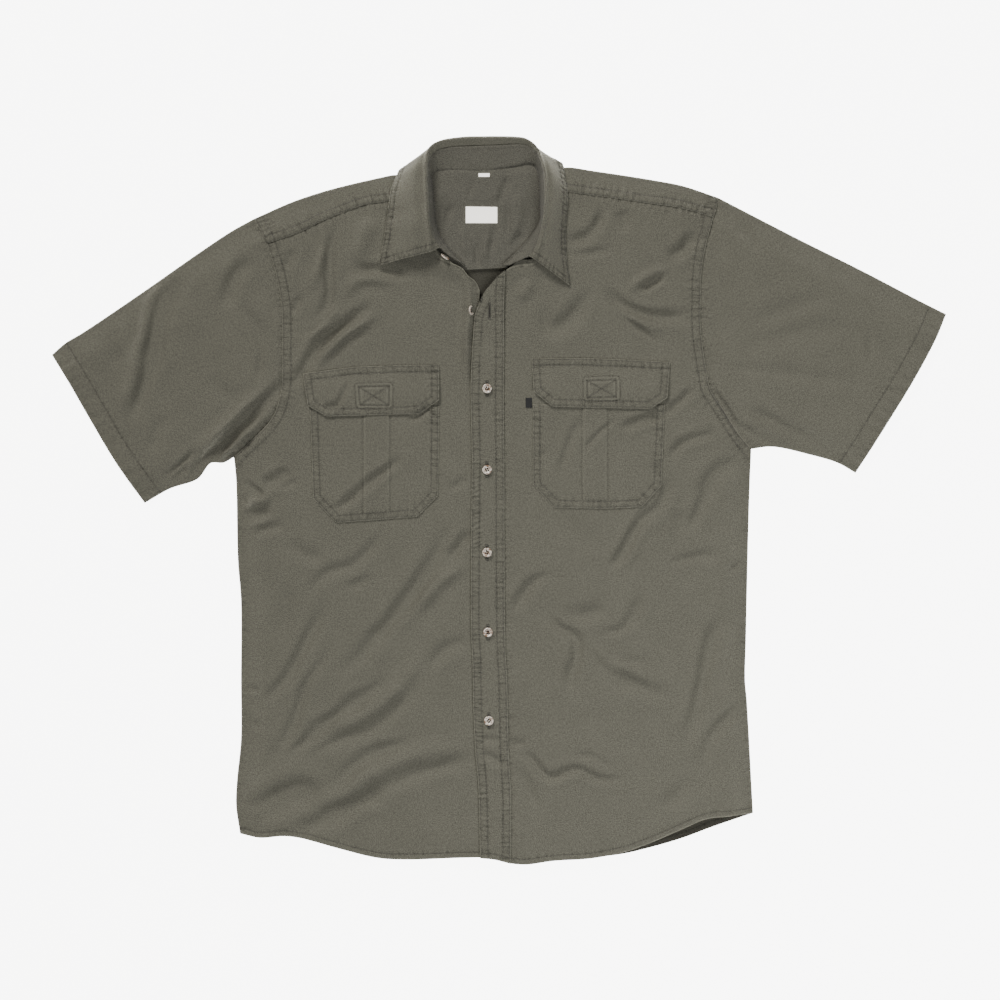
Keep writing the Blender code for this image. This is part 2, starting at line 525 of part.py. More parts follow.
def leaf_sections(stand_table):
    """The leaf starts at its seam on the stand, rolls over and falls to its edge."""
    table = spline(LEAF, LEAF_STEPS)
    seam_low = resample(stand_table[:, 0:3], 200)
    seam_top = resample(stand_table[:, 3:6], 200)
    table[:, 5] = np.maximum(table[:, 5], LEAF_FLOOR)
    over_front = table[:, 6] < 0.1
    rest = height(table[:, 3:5]) + WALL + SEAM + STAND_WALL
    table[over_front, 5] = np.maximum(table, rest[:, None])[over_front, 5]
    rows = []
    for x0, y0, z0, x1, y1, z1, under in table:
        roll, edge = np.array([x0, y0, z0]), np.array([x1, y1, z1])
        k = int(np.argmin(np.linalg.norm(seam_top[:, :2] - roll[:2], axis=1)))
        seam = seam_low[k] + (seam_top[k] - seam_low[k]) * (LEAF_SEAM + 0.03)
        fall = edge - roll
        flat = np.array([fall[0], fall[1], 0.0])
        flat /= np.linalg.norm(flat)
        back = (seam - roll)
        over = [roll + fall * 0.10 + (0, 0, 0.2), roll + fall * 0.34 + (0, 0, 2.6),
                roll + fall * 0.67 + (0, 0, 2.0)]
        out = -flat * 1.6
        below = [roll + out + (0, 0, -(z0 - z1) * 0.45),
                 np.array([roll[0], roll[1], z1]) + flat * 5.0,
                 np.array([roll[0] + fall[0] * 0.55, roll[1] + fall[1] * 0.55, z1])]
        bend = [(1 - under) * o + under * b for o, b in zip(over, below)]
        rows.append([seam, roll + back * 0.25 + (0, 0, 0.4), roll + (0, 0, 0.5)] + bend + [edge])
    return rows


def button(name, x, y, z, facing=(0, 0, 1)):
    """Turned disc with a raised rim and a shallow dish."""
    radius, thick = BUTTON_RADIUS, BUTTON_THICKNESS
    profile = [(0, 0), (0.80, 0), (1.0, 0.35), (1.0, 0.75), (0.90, 1.0), (0.72, 0.95),
               (0.60, 0.70), (0, 0.70)]
    bm = bmesh.new()
    verts = [bm.verts.new((r * radius * SCALE, 0, h * thick * SCALE)) for r, h in profile]
    edges = [bm.edges.new(pair) for pair in zip(verts[:-1], verts[1:])]
    bmesh.ops.spin(bm, geom=verts + edges, cent=(0, 0, 0), axis=(0, 0, 1),
                   angle=math.tau, steps=18, use_merge=True)
    bmesh.ops.remove_doubles(bm, verts=bm.verts[:], dist=1e-6)
    turn = Vector((0, 0, 1)).rotation_difference(Vector(facing).normalized()).to_matrix()
    bmesh.ops.transform(bm, matrix=turn.to_4x4(), verts=bm.verts[:])
    obj = add_object(name, bm, PEARL, roughness=0.35)
    obj.location = Vector((x, y, z)) * SCALE
    return obj


def tag(name, place, z, colour, slope=0.0):
    x, y, wide, tall = place
    bm = bmesh.new()
    bmesh.ops.create_cube(bm, size=1.0)
    bmesh.ops.scale(bm, vec=Vector((wide, tall, TRIM_WALL)) * SCALE, verts=bm.verts[:])
    bmesh.ops.transform(bm, matrix=Matrix.Rotation(slope, 4, "X"), verts=bm.verts[:])
    obj = add_object(name, bm, colour, smooth_shaded=False)
    obj.location = Vector((x, y, z + TRIM_WALL / 2)) * SCALE
    return obj


for old in list(bpy.data.objects):
    bpy.data.objects.remove(old, do_unlink=True)
parts = bpy.data.collections.new(NAME)
bpy.context.scene.collection.children.link(parts)

arm_right = chain((ARM_YOKE_RIGHT, YOKE_ROWS), (ARM_FRONT_RIGHT, ARM_ROWS))
arm_left = chain((ARM_YOKE_LEFT, YOKE_ROWS), (ARM_FRONT_LEFT, ARM_ROWS))
body_arm_right = shifted(arm_right, SEAM / 2)
body_arm_left = shifted(arm_left, -SEAM / 2)

# Back panel, flat on the surface, under the yoke seam
seam_line = back_seam(body_arm_right, body_arm_left, BACK_COLUMNS, -SEAM / 2)
back_right = np.vstack([seam_line[:1], body_arm_right[BACK_ROW + 1:],
                        spline(SIDE_RIGHT, SIDE_ROWS)[1:]])
back_left = np.vstack([seam_line[-1:], body_arm_left[BACK_ROW + 1:],
                       spline(SIDE_LEFT, SIDE_ROWS)[1:]])
back_grid = coons(seam_line, spline(BACK_HEM, BACK_COLUMNS), back_right, back_left)
wall("back_panel", [lifted(back_grid, np.full(back_grid.shape[:2], UNDER))],
     [lifted(back_grid, np.zeros(back_grid.shape[:2]))], OLIVE_DARK)

yoke_inside = build_yoke(body_arm_right, body_arm_left)
sleeve("sleeve_right", arm_right, SLEEVE_TOP_RIGHT, CUFF_RIGHT, UNDERARM_RIGHT, -1)
sleeve("sleeve_left", arm_left, SLEEVE_TOP_LEFT, CUFF_LEFT, UNDERARM_LEFT, 1)

# Fronts, from the yoke seam to the hem
outer_r = np.vstack([body_arm_right[YOKE_ROWS:], spline(SIDE_RIGHT, SIDE_ROWS)[1:]])
inner_r = chain((NECK_RIGHT, 5), (EDGE_RIGHT, ARM_ROWS - 5), (EDGE_RIGHT_LOW, SIDE_ROWS))
grid_r = coons(spline(YOKE_SEAM_RIGHT, FRONT_COLUMNS), spline(HEM_RIGHT, FRONT_COLUMNS),
               outer_r, inner_r)
base_r = height(grid_r)
slab("front_right", grid_r, base_r, WALL, OLIVE)

outer_l = np.vstack([body_arm_left[YOKE_ROWS:], spline(SIDE_LEFT, SIDE_ROWS)[1:]])
placket_side = shifted(chain((PLACKET_RIGHT, ARM_ROWS - 5), (PLACKET_RIGHT_LOW, SIDE_ROWS)),
                       SEAM)
inner_l = np.vstack([spline(NECK_LEFT, 5)[:-1], placket_side])
grid_l = coons(spline(YOKE_SEAM_LEFT, FRONT_COLUMNS), spline(HEM_LEFT, FRONT_COLUMNS),
               outer_l, inner_l)
beside = nearest(grid_l.reshape(-1, 2), placket_side)[0].reshape(grid_l.shape[:2])
base_l = height(grid_l) + (PLACKET_LIFT - 0.6) * (1 - smooth(beside / 30.0))
slab("front_left", grid_l, base_l, WALL, OLIVE)

# Placket band over both front edges
head = spline(PLACKET_HEAD, 3)
left_edge = chain((PLACKET_LEFT, 9), (PLACKET_LEFT_LOW, SIDE_ROWS))
right_edge = chain((PLACKET_RIGHT, 9), (PLACKET_RIGHT_LOW, SIDE_ROWS))
right_edge[0] = head[-1]
grid_p = coons(head, spline(PLACKET_FOOT, 3), left_edge, right_edge)
base_p = height(grid_p) + PLACKET_LIFT + HEAD_LIFT * smooth((grid_p[:, :, 1] - 175) / 40)
slab("placket", grid_p, base_p, PLACKET_WALL, OLIVE)

# Patch pockets and their flaps, cut from the fronts' own surfaces
for label, grid, base, pocket, flap, pleat, seat in (
        ("right", grid_r, base_r, POCKET_RIGHT, FLAP_RIGHT, PLEAT_RIGHT, FLAP_SEAT_RIGHT),
        ("left", grid_l, base_l, POCKET_LEFT, FLAP_LEFT, PLEAT_LEFT, FLAP_SEAT_LEFT)):
    panel = lifted(grid, base + WALL)
    low, high = pleat
    folds = [("x", low), ("x", low + 0.8), ("x", high - 0.8), ("x", high)]
    laid_on("pocket_" + label, panel, pocket, lambda x, y: SEAM,
            lambda x, y, a=low, b=high: POCKET_WALL
            + (PLEAT_RISE if a + 0.4 < x < b - 0.4 else 0.0), OLIVE, folds)
    over = POCKET_WALL + PLEAT_RISE + 2 * SEAM
    laid_on("flap_" + label, panel, flap,
            lambda x, y, s=seat, o=over: SEAM + (o - SEAM) * min(1.0, max(0.0, (152 - y) / (152 - s))),
            lambda x, y: FLAP_WALL, OLIVE, [("y", seat), ("y", 152.0)])

# Collar
sections, stand_table = stand_sections()
thick_sheet("collar_stand", sections, STAND_WALL, OLIVE_DARK)
thick_sheet("collar_leaf", leaf_sections(stand_table), STAND_WALL, OLIVE)

# Buttons, label and tabs
for k, (x, y) in enumerate(FRONT_BUTTONS, start=1):
    top = float(height(np.array([[x, y]]))[0]) + PLACKET_LIFT + PLACKET_WALL
    button("button_%d" % k, x, y, top + 2 * SEAM)
for name, x, y, z, facing in TURNED_BUTTONS:
    button(name, x, y, z, facing)
laid_on("neck_label", yoke_inside, LABEL, lambda x, y: SEAM, lambda x, y: TRIM_WALL, OFF_WHITE)
tag("size_tab", SIZE_TAB, LEAF_LIFT + UNDER + SEAM, OFF_WHITE)
side_z = float(height(np.array([[SIDE_TAB[0], SIDE_TAB[1]]]))[0]) + WALL + 2 * SEAM
tag("side_tab", SIDE_TAB, side_z, BLACK)
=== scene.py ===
"""Dressed model of a safari shirt with short sleeves, laid flat on its back and buttoned but
for the neck.

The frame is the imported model's own: +X to the wearer's left, +Y to the collar and +Z up from
the surface. Sizes in the tables are millimetres, and MM turns them into metres. The outlines
repeat those of the part's source, and the folds are its folds in more detail.
"""
import math
from collections import namedtuple

import bmesh
import bpy
import numpy as np
from bpy.props import FloatProperty, FloatVectorProperty, PointerProperty
from mathutils import Matrix, Vector


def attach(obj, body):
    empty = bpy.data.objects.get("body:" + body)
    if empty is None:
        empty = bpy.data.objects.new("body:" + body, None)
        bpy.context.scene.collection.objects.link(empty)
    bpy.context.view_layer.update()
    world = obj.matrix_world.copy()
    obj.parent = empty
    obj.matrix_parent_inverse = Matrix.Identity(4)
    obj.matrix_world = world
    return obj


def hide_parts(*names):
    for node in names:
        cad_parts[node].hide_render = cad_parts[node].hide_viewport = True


bl_info = {
    "name": "Safari shirt",
    "version": (1, 0, 0),
    "blender": (4, 5, 0),
    "location": "3D View > Sidebar > Shirt",
    "description": "Builds a safari shirt laid flat, in cotton twill, with its stage",
    "category": "Add Mesh",
}

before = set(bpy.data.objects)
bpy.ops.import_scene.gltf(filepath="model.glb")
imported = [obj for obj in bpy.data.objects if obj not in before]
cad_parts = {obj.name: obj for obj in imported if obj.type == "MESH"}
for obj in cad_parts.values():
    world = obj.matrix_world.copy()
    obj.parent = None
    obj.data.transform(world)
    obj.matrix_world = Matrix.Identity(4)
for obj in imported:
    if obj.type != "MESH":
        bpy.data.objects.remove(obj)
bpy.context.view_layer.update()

MM = 0.001

# Cloth and seams, as in the part's source
UNDER = 1.0            # cloth that lies on the surface
WALL = 1.2             # upper cloth
SEAM = 0.3             # gap between sewn pieces
LAYER = UNDER + SEAM   # where the upper cloth starts over the lower one
LOFT = 4.0             # air between the layers, away from the edges
LOFT_RUN = 32.0        # distance from an edge over which it is reached, less than the part's 45
LOWEST = 2.3           # least height of the upper cloth's face, clear of the layer below
LEAF_LIFT = 1.9        # how far the collar leaf under the neck lifts the yoke
PLACKET_WALL = 1.9
PLACKET_LIFT = 1.7
HEAD_LIFT = 1.2
POCKET_WALL = 1.0
FLAP_WALL = 1.2
PLEAT_RISE = 0.8
STAND_WALL = 1.2
EDGE_ROLL = 2.2        # radius over which a folded edge turns down

# Rows of stitches, as distances from the sewn edge
ARM_ROWS = (1.3, 9.8)
YOKE_ROWS = (1.3, 9.0)
PLACKET_ROWS = (1.4, 9.2)
POCKET_ROWS = (1.3, 8.1)
LEAF_ROWS = (1.3, 7.4)
HEM_ROW = 6.2
CUFF_ROW = 21.2

# Where on an armhole line the yoke's front strip ends, and where the back seam starts
ARM_FRONT = 14
ARM_BACK = 34
SIGN = {"right": 1, "left": -1}

# Lights and camera, in metres. Column 499 of the photograph lies on the shirt's middle, so the
# camera stands one pixel beside it.
KEY_PLACE, KEY_SIZE = (-2.0, 4.3, 2.7), 1.6
FILL_PLACE, FILL_SIZE = (0.5, -0.6, 1.3), 1.2
CAMERA_X = 0.00113

# Edges, seen from above
SHOULDER_RIGHT = [(-277, 317.5), (-234, 336.5), (-200, 348), (-166, 357), (-132, 364.5),
                  (-118, 367), (-106, 366), (-92, 366), (-79, 367.5)]
SHOULDER_LEFT = [(247.5, 341.5), (207, 355), (173, 361.5), (139, 367), (105, 372), (80, 375.5),
                 (67, 374.5), (56, 374), (45, 375)]
SLEEVE_TOP_RIGHT = [(-277, 317.5), (-301.5, 304), (-335.5, 281.5), (-403.5, 234),
                    (-471, 188.5), (-489.5, 177.5), (-505, 164)]
SLEEVE_TOP_LEFT = [(247.5, 341.5), (274.5, 327.5), (342.5, 292.5), (410, 259), (478, 223.5),
                   (505, 210)]
CUFF_RIGHT = [(-505, 164), (-487, 135.5), (-461, 90.5), (-434, 45), (-400, -3.5)]
CUFF_LEFT = [(505, 210), (492.5, 181), (468, 135.5), (440.5, 90.5), (402.5, 30.5)]
UNDERARM_RIGHT = [(-299.5, 48.5), (-311, 42), (-325.5, 41.5), (-340, 24), (-372, 12.5),
                  (-400, -3.5)]
UNDERARM_LEFT = [(285, 57.5), (303.5, 60), (317.5, 59), (347.5, 52), (382, 42), (402.5, 30.5)]
ARM_YOKE_RIGHT = [(-277, 317.5), (-269, 303), (-262, 288.5)]
ARM_YOKE_LEFT = [(247.5, 341.5), (246, 330), (242, 318.5)]
ARM_FRONT_RIGHT = [(-262, 288.5), (-254, 263.5), (-248.5, 239.5), (-245, 214.5),
                   (-244.5, 166), (-244.5, 141), (-246.5, 121), (-252, 100.5), (-261, 86),
                   (-278, 69), (-299.5, 48.5)]
ARM_FRONT_LEFT = [(242, 318.5), (232, 280.5), (228.5, 255), (227.5, 222.5), (227.5, 200),
                  (230, 172), (234.5, 144.5), (239, 123.5), (253, 103), (269, 77.5),
                  (285, 57.5)]
SIDE_RIGHT = [(-299.5, 48.5), (-297, 22.5), (-295, -68), (-291.5, -113), (-291.5, -203.5),
              (-291.5, -271), (-296, -316.5), (-297, -345), (-292.5, -376.5)]
SIDE_LEFT = [(285, 57.5), (283.5, 22.5), (281.5, -45), (279, -158), (278, -203.5),
             (280, -226), (285, -316.5), (287, -353.5)]
YOKE_SEAM_RIGHT = [(-262, 288.5), (-225, 301.5), (-196.5, 315.5), (-168.5, 326.5),
                   (-148, 333.5), (-123, 336.5), (-76.5, 343)]
YOKE_SEAM_LEFT = [(242, 318.5), (204.5, 329), (170.5, 334), (136.5, 339), (104, 343.5),
                  (77, 347), (48, 350)]
NECK_RIGHT = [(-76.5, 343), (-75.5, 326), (-74.5, 307), (-73, 290), (-69, 275), (-59, 268.5),
              (-47.5, 264.5), (-40.5, 260.5)]
EDGE_RIGHT = [(-40.5, 260.5), (-34.5, 252.5), (-27.5, 247.5), (-22, 237.5), (-22, 225),
              (-17, 205.5), (-8, 186.5), (1, 164), (3.5, 135.5), (3.5, 48)]
EDGE_RIGHT_LOW = [(3.5, 48), (3.5, -60), (5, -157), (7.5, -220), (9, -287), (11.5, -340),
                  (11.5, -402)]
NECK_LEFT = [(48, 350), (49.5, 333), (50.5, 314), (50, 294), (46.5, 277), (39, 266),
             (23.5, 264.5), (14.5, 262), (6.5, 259)]
PLACKET_RIGHT = [(6.5, 254), (5.5, 208), (6, 167), (5.5, 126.5), (6, 48)]
PLACKET_RIGHT_LOW = [(6, 48), (7, -157), (9, -200.5), (10, -243.5), (11, -287),
                     (13.5, -330), (13.5, -410)]
PLACKET_LEFT = [(-20, 225), (-22.5, 220), (-27, 209), (-29, 187.5), (-31, 157), (-32, 126.5),
                (-30.5, 48)]
PLACKET_LEFT_LOW = [(-30.5, 48), (-31.5, -59), (-31.5, -149), (-30, -178.5), (-29, -233),
                    (-26.5, -287), (-23.5, -319.5), (-21.5, -403.5)]
PLACKET_HEAD = [(-20, 225), (-16.5, 234), (-10, 242), (-3, 250), (6.5, 258.5)]
PLACKET_FOOT = [(-21.5, -403.5), (-4, -405.5), (13.5, -410)]
HEM_RIGHT = [(-292.5, -376.5), (-270, -381), (-244, -379), (-225, -381), (-181, -393),
             (-138, -403.5), (-109.5, -405.5), (-45, -403.5), (11.5, -402)]
HEM_LEFT = [(287, -353.5), (259, -357), (235, -359.5), (202.5, -373), (168.5, -387.5),
            (142.5, -396.5), (105, -404), (61, -407), (31.5, -411), (13.5, -410)]
BACK_SEAM = [(-140, 253), (-35, 259.5), (60, 264.5), (140, 270)]     # between the armholes
BACK_HEM = [(-292.5, -376.5), (-225, -378), (-138, -399), (-50, -401), (60, -403),
            (105, -403.5), (139, -400), (173, -392), (207, -382), (240.5, -369.5),
            (287, -353.5)]
BACK_NECK = [(-79, 367.5), (-72, 372.5), (-55, 373), (-22, 371.5), (2, 375), (24, 380),
             (38, 382), (45, 375)]

# Front neckline where it lifts off the body, as (x, y, lift)
LIP_RIGHT = [(-76, 335, 0), (-74, 305, 3), (-70, 278, 7), (-58, 268, 8.5), (-40, 260, 8),
             (-27, 247, 5.5), (-22, 232, 2.5), (-19, 205, 0.8), (-8, 186, 0)]
LIP_LEFT = [(49, 335, 0), (50, 300, 3), (46, 277, 6.5), (38, 266, 7.5), (15, 262, 7),
            (0, 252, 5.5), (-13, 238, 3.5), (-21, 222, 1.5), (-28, 195, 0)]
LIP_RUN = 24.0

# Folds of the upper cloth: points along the fold, half width, height (troughs are negative)
FOLDS = [
    # right sleeve
    ([(-355, 258), (-382, 222), (-390, 178), (-403, 132), (-420, 82)], 8, -4.5),
    ([(-352, 262), (-386, 215), (-400, 150)], 17, -2.4),
    ([(-378, 250), (-401, 198), (-410, 167), (-421, 126), (-428, 92)], 11, 1.9),
    ([(-281, 279), (-301, 252), (-313, 215)], 8, -2.9),
    ([(-296, 226), (-273, 195), (-270, 162), (-272, 132), (-267, 124)], 5, -1.3),
    ([(-228, 147), (-250, 128), (-278, 102), (-307, 71), (-334, 45), (-356, 24)], 6.5, -6.0),
    ([(-264, 128), (-292, 104), (-322, 76), (-348, 52)], 7, 3.2),
    ([(-275, 87), (-297, 67), (-322, 47)], 4, 2),
    ([(-259, 94), (-278, 71), (-300, 52)], 4, -0.8),
    ([(-341, 60), (-360, 43), (-380, 26)], 4, -1.8),
    ([(-351, 42), (-360, 32), (-370, 21)], 3.5, -1.5),
    ([(-380, 102), (-388, 77), (-394, 53)], 7, -1.2),
    ([(-330, 147), (-319, 130), (-304, 116)], 10, -0.9),
    ([(-431, 201), (-437, 175), (-431, 149)], 10, -0.8),
    # right front, above the pocket
    ([(-138, 228), (-172, 203), (-206, 173), (-228, 139), (-241, 124)], 5.5, -4.5),
    ([(-133, 216), (-180, 183), (-212, 151)], 5, 2.2),
    ([(-174, 223), (-202, 198), (-225, 175)], 5, 1.6),
    ([(-189, 212), (-205, 198), (-218, 185)], 3.5, -1.3),
    ([(-183, 323), (-191, 290), (-193, 260), (-194, 226), (-211, 199)], 6, -2.6),
    ([(-131, 331), (-122, 316), (-128, 285)], 5, -2),
    ([(-163, 269), (-155, 305), (-139, 325)], 11, 2.4),
    ([(-168, 260), (-144, 262), (-120, 260), (-101, 252)], 7, -3),
    ([(-174, 226), (-166, 247), (-146, 255), (-120, 249)], 7, 2),
    ([(-225, 235), (-229, 223), (-236, 210)], 5, -1.5),
    ([(-233, 286), (-238, 273), (-244, 262)], 5, -1.2),
    ([(-216, 235), (-206, 264), (-197, 294)], 7, 1.3),
    # right front, armpit and side
    ([(-238, 38), (-251, 27), (-270, 18)], 5.5, -3.8),
    ([(-293, -18), (-279, -15), (-258, -8)], 6, -5),
    ([(-290, -4), (-272, 2), (-256, 8)], 5, 2.4),
    ([(-290, 24), (-270, 8), (-262, -2)], 4, -2.6),
    ([(-228, 25), (-240, 18), (-251, 14)], 4, -1.6),
    ([(-281, -36), (-261, -29), (-242, -25)], 6, -1.6),
    ([(-240, -40), (-219, -59), (-197, -58)], 8, -1.6),
    ([(-293, 7), (-287, 0), (-281, -6)], 3.5, -1.5),
    # right pocket
    ([(-106, 54), (-127, 38), (-150, 20), (-172, 1), (-194, -14)], 5.5, -3.0),
    ([(-168, 139), (-176, 122), (-185, 108), (-205, 107)], 4, -1.6),
    ([(-76, 111), (-89, 99), (-106, 90)], 4, -1.5),
    ([(-36, 28), (-46, 20), (-58, 15)], 5, -1.2),
    # right front, lower
    ([(-60, -20), (-72, -56), (-95, -95), (-113, -118), (-136, -146), (-162, -176),
      (-190, -195)], 8.5, -3.9),
    ([(-33, -31), (-44, -47), (-60, -66)], 5, -3),
    ([(-33, -64), (-70, -90), (-103, -127)], 8, 2.2),
    ([(-132, -31), (-146, -51), (-166, -70), (-194, -79), (-211, -96), (-219, -111)], 6, -2.1),
    ([(-194, -102), (-206, -132), (-223, -164), (-242, -198), (-257, -215), (-275, -228)],
     7, -2.8),
    ([(-184, -154), (-202, -181), (-219, -206), (-231, -243), (-245, -273), (-266, -301)],
     6, -2.1),
    ([(-123, -194), (-157, -220), (-191, -243), (-223, -271), (-254, -301)], 7, -3.1),
    ([(-81, -158), (-118, -209), (-157, -240), (-202, -260)], 9, 2.1),
    ([(-87, -200), (-121, -234), (-146, -254), (-180, -266), (-223, -288)], 8, -2),
    ([(-94, -271), (-132, -277), (-163, -294), (-190, -323)], 7, -1.9),
    ([(-118, -314), (-142, -326), (-170, -342), (-205, -359), (-236, -370)], 9, -3.6),
    ([(-22, -286), (-61, -296), (-100, -308), (-140, -325)], 8, -1.8),
    ([(-32, -277), (-67, -277), (-104, -285), (-146, -305), (-189, -333), (-223, -336)], 9, 2.5),
    ([(-200, -321), (-230, -325), (-257, -336), (-286, -350)], 13, -4.6),
    ([(-287, -356), (-253, -341), (-223, -336)], 6, 1.6),
    ([(-32, -155), (-61, -164), (-82, -191)], 7, -1.9),
    ([(-145, -82), (-159, -92), (-175, -99)], 5, -1.1),
    ([(-286, -242), (-277, -250), (-267, -257)], 5, -1.2),
    ([(-290, -208), (-279, -211), (-267, -212)], 4, -1),
    ([(-252, -158), (-242, -119), (-243, -85)], 9, -1.1),
    # left front, above the pocket
    ([(71, 294), (95, 299), (111, 316), (115, 336)], 6, -2.6),
    ([(69, 279), (103, 280), (133, 286)], 4, -1.2),
    ([(116, 246), (137, 223), (171, 211), (219, 209)], 6.5, -3.6),
    ([(129, 218), (156, 195), (183, 176)], 3.5, -1.9),
    ([(128, 226), (150, 206), (189, 191)], 5, 1.5),
    ([(45, 231), (56, 198), (77, 206), (92, 226), (106, 245)], 8, -2.6),
    ([(23, 226), (28, 240), (38, 253)], 7, 2),
    ([(158, 240), (172, 246), (186, 255)], 5, -2.2),
    ([(142, 236), (171, 259), (197, 263)], 5, 1.6),
    ([(220, 308), (207, 288), (185, 275)], 8, -3),
    ([(136, 333), (138, 320), (142, 305)], 9, -1.5),
    # left armpit and sleeve
    ([(234, 137), (258, 98), (276, 67), (286, 54)], 5, -4),
    ([(263, 95), (292, 71), (321, 61)], 5, -2.2),
    ([(272, 110), (318, 87), (372, 58)], 7, -2.1),
    ([(272, 200), (318, 218), (372, 235)], 10, -1),
    ([(234, 155), (295, 150), (424, 133)], 9, -1),
    ([(264, 314), (280, 302), (293, 281)], 7, -1),
    ([(267, 180), (329, 192), (398, 201)], 12, -0.9),
    ([(414, 193), (418, 175), (417, 157)], 5, -0.9),
    # left pocket
    ([(184, 97), (205, 116), (221, 130)], 5, -2),
    ([(134, 81), (163, 93), (189, 98)], 5, -2.6),
    ([(94, 55), (111, 76), (134, 95)], 3.5, -1.2),
    ([(66, 25), (80, 71), (98, 101)], 6, -1.5),
    ([(189, 44), (205, 67), (247, 79)], 6, -2.3),
    ([(229, 2), (242, 33), (272, 51)], 9, -2.6),
    ([(150, -24), (180, -2), (192, 35)], 7, -2),
    ([(37, 54), (46, 54), (56, 54)], 4, -1),
    # left front, lower
    ([(168, -8), (150, -34), (137, -59), (120, -77)], 5.5, -3.6),
    ([(59, -79), (37, -90), (24, -107), (12, -128)], 6, -2.6),
    ([(47, -118), (63, -138), (85, -153), (86, -175), (79, -198), (86, -227)], 6, -2.6),
    ([(66, -124), (97, -125), (123, -115)], 9, -2),
    ([(107, -144), (133, -144), (150, -127), (160, -97)], 7, -1.7),
    ([(113, -169), (133, -177), (166, -181)], 6, -1.4),
    ([(124, -194), (165, -209), (197, -223)], 9, -1.7),
    ([(96, -146), (120, -175), (148, -189), (183, -210)], 7, 1.6),
    ([(253, -114), (238, -153), (229, -192), (221, -232), (206, -279)], 8, -2.9),
    ([(279, -223), (252, -246), (234, -273), (231, -301)], 8, -2.3),
    ([(7, -281), (32, -286), (54, -311), (86, -301), (111, -313), (147, -313)], 4.5, -2.9),
    ([(79, -285), (108, -289), (127, -303)], 4, -1.1),
    ([(7, -271), (19, -273), (33, -272)], 4, -1.5),
    ([(20, -294), (32, -322), (42, -347)], 6, -1.3),
    ([(217, -301), (199, -328), (175, -346)], 10, -1.3),
    ([(186, -70), (216, -62), (252, -59)], 6, -1.7),
    ([(281, -68), (270, -71), (257, -78)], 5, -1.6),
    ([(200, -43), (202, -23), (201, -5)], 8, -1.2),
    ([(211, -37), (225, -6), (240, 24)], 7, -1.8),
    ([(114, -52), (86, -34), (63, 0)], 12, -1.2),
    # placket
    ([(-24, -282), (-6, -290), (9, -299)], 5, -1.5),
    ([(-25, -269), (-10, -268), (5, -269)], 4, -1),
]
YOKE_FOLDS = [
    ([(10, 368), (5, 353), (-2, 334)], 4, -2.6),
    ([(-53, 337), (-59, 323), (-63, 308)], 4, -2.2),
    ([(-29, 366), (-32, 354), (-36, 340)], 3, -1.0),
    ([(-7, 314), (-7, 298), (-9, 281)], 4, -1.9),
    ([(-27, 293), (-26, 277), (-25, 261)], 3.5, -1.6),
    ([(9, 334), (10, 314), (10, 293)], 4, -1.6),
    ([(26, 306), (20, 295), (14, 284)], 5, -2.2),
    ([(18, 353), (19, 322), (12, 296)], 6, 2.4),
    ([(-45, 312), (-41, 294), (-35, 276)], 5, 1.6),
    ([(-17, 305), (-16, 288), (-17, 269)], 4, 1.6),
    ([(-67, 356), (-70, 345), (-69, 330)], 5, 1.4),
]

# Folds of the right front's turned edge, beside the placket
TURNED_EDGE_FOLDS = [
    ([(-28.2, 217), (-30.5, 192.1), (-31.1, 158.2), (-32.2, 113)], 3.5, -2.0),
    ([(-48.6, 268.9), (-37.3, 248.6), (-35, 226), (-37.3, 186.4), (-36.2, 129.9)], 7, 2.8),
]
# Pocket and flap outlines, convex, and the middle pleat
POCKET_RIGHT = [(-213, 106), (-67.5, 106), (-68.5, 5), (-92, -19), (-183.5, -26), (-209.5, 1.5)]
FLAP_RIGHT = [(-221, 142.5), (-164, 150), (-113.5, 152), (-67.5, 152.5), (-67.5, 112.5),
              (-89.5, 97), (-194.5, 94), (-215.5, 106.5)]
POCKET_LEFT = [(38, 108), (187, 108), (183, 16), (161, -8), (116.5, -10), (62, -8.5),
               (38, 17.5)]
FLAP_LEFT = [(37, 159.5), (92.5, 160), (137, 158.5), (193, 155.5), (189.5, 115),
             (170.5, 102.5), (60, 105), (39, 122)]
PLEAT_RIGHT = (-152.0, -124.5)
PLEAT_LEFT = (95.0, 121.0)
FLAP_SEAT_RIGHT = 116.0     # y below which the flap lies on the pocket
FLAP_SEAT_LEFT = 118.0

# Collar stand, right front end to left front end: seam x, y, z and top x, y, z
STAND = [
    (-37.5, 263.5, 5.5, -45, 268.5, 14.5), (-46.5, 272, 5.5, -56, 274, 15.5),
    (-55, 282, 5.5, -67, 281, 17), (-65, 295, 5.5, -74.5, 291, 20),
    (-71, 311, 5.2, -79.5, 311, 23), (-73.5, 333, 5.0, -81, 335.5, 24),
    (-75, 354, 4.8, -82, 358, 23), (-76, 368, 5.0, -82, 381, 20),
    (-71, 371, 4.0, -78, 396.5, 15), (-55, 371.5, 3.6, -60, 405.5, 9),
    (-24, 370.5, 3.6, -33, 408.5, 6), (2, 373.5, 3.6, 1, 409, 6),
    (23, 378, 3.6, 26, 408.5, 7), (37, 380.5, 4.0, 39.5, 401, 12),
    (43.5, 372, 5.0, 47, 387, 19), (46, 355, 4.8, 52, 364, 23),
    (46.5, 333, 5.0, 52, 339, 24), (46, 314, 5.0, 50.5, 314, 24),
    (34, 295, 5.2, 47.5, 290.5, 22), (23, 283, 5.5, 41, 274, 18),
    (14, 274, 5.5, 27, 268.5, 15.5), (3, 264, 5.5, 14, 264.5, 13.5),
]
STAND_STEPS = 42
LEAF_SEAM = 0.74            # share of the stand's height at which the leaf is sewn on

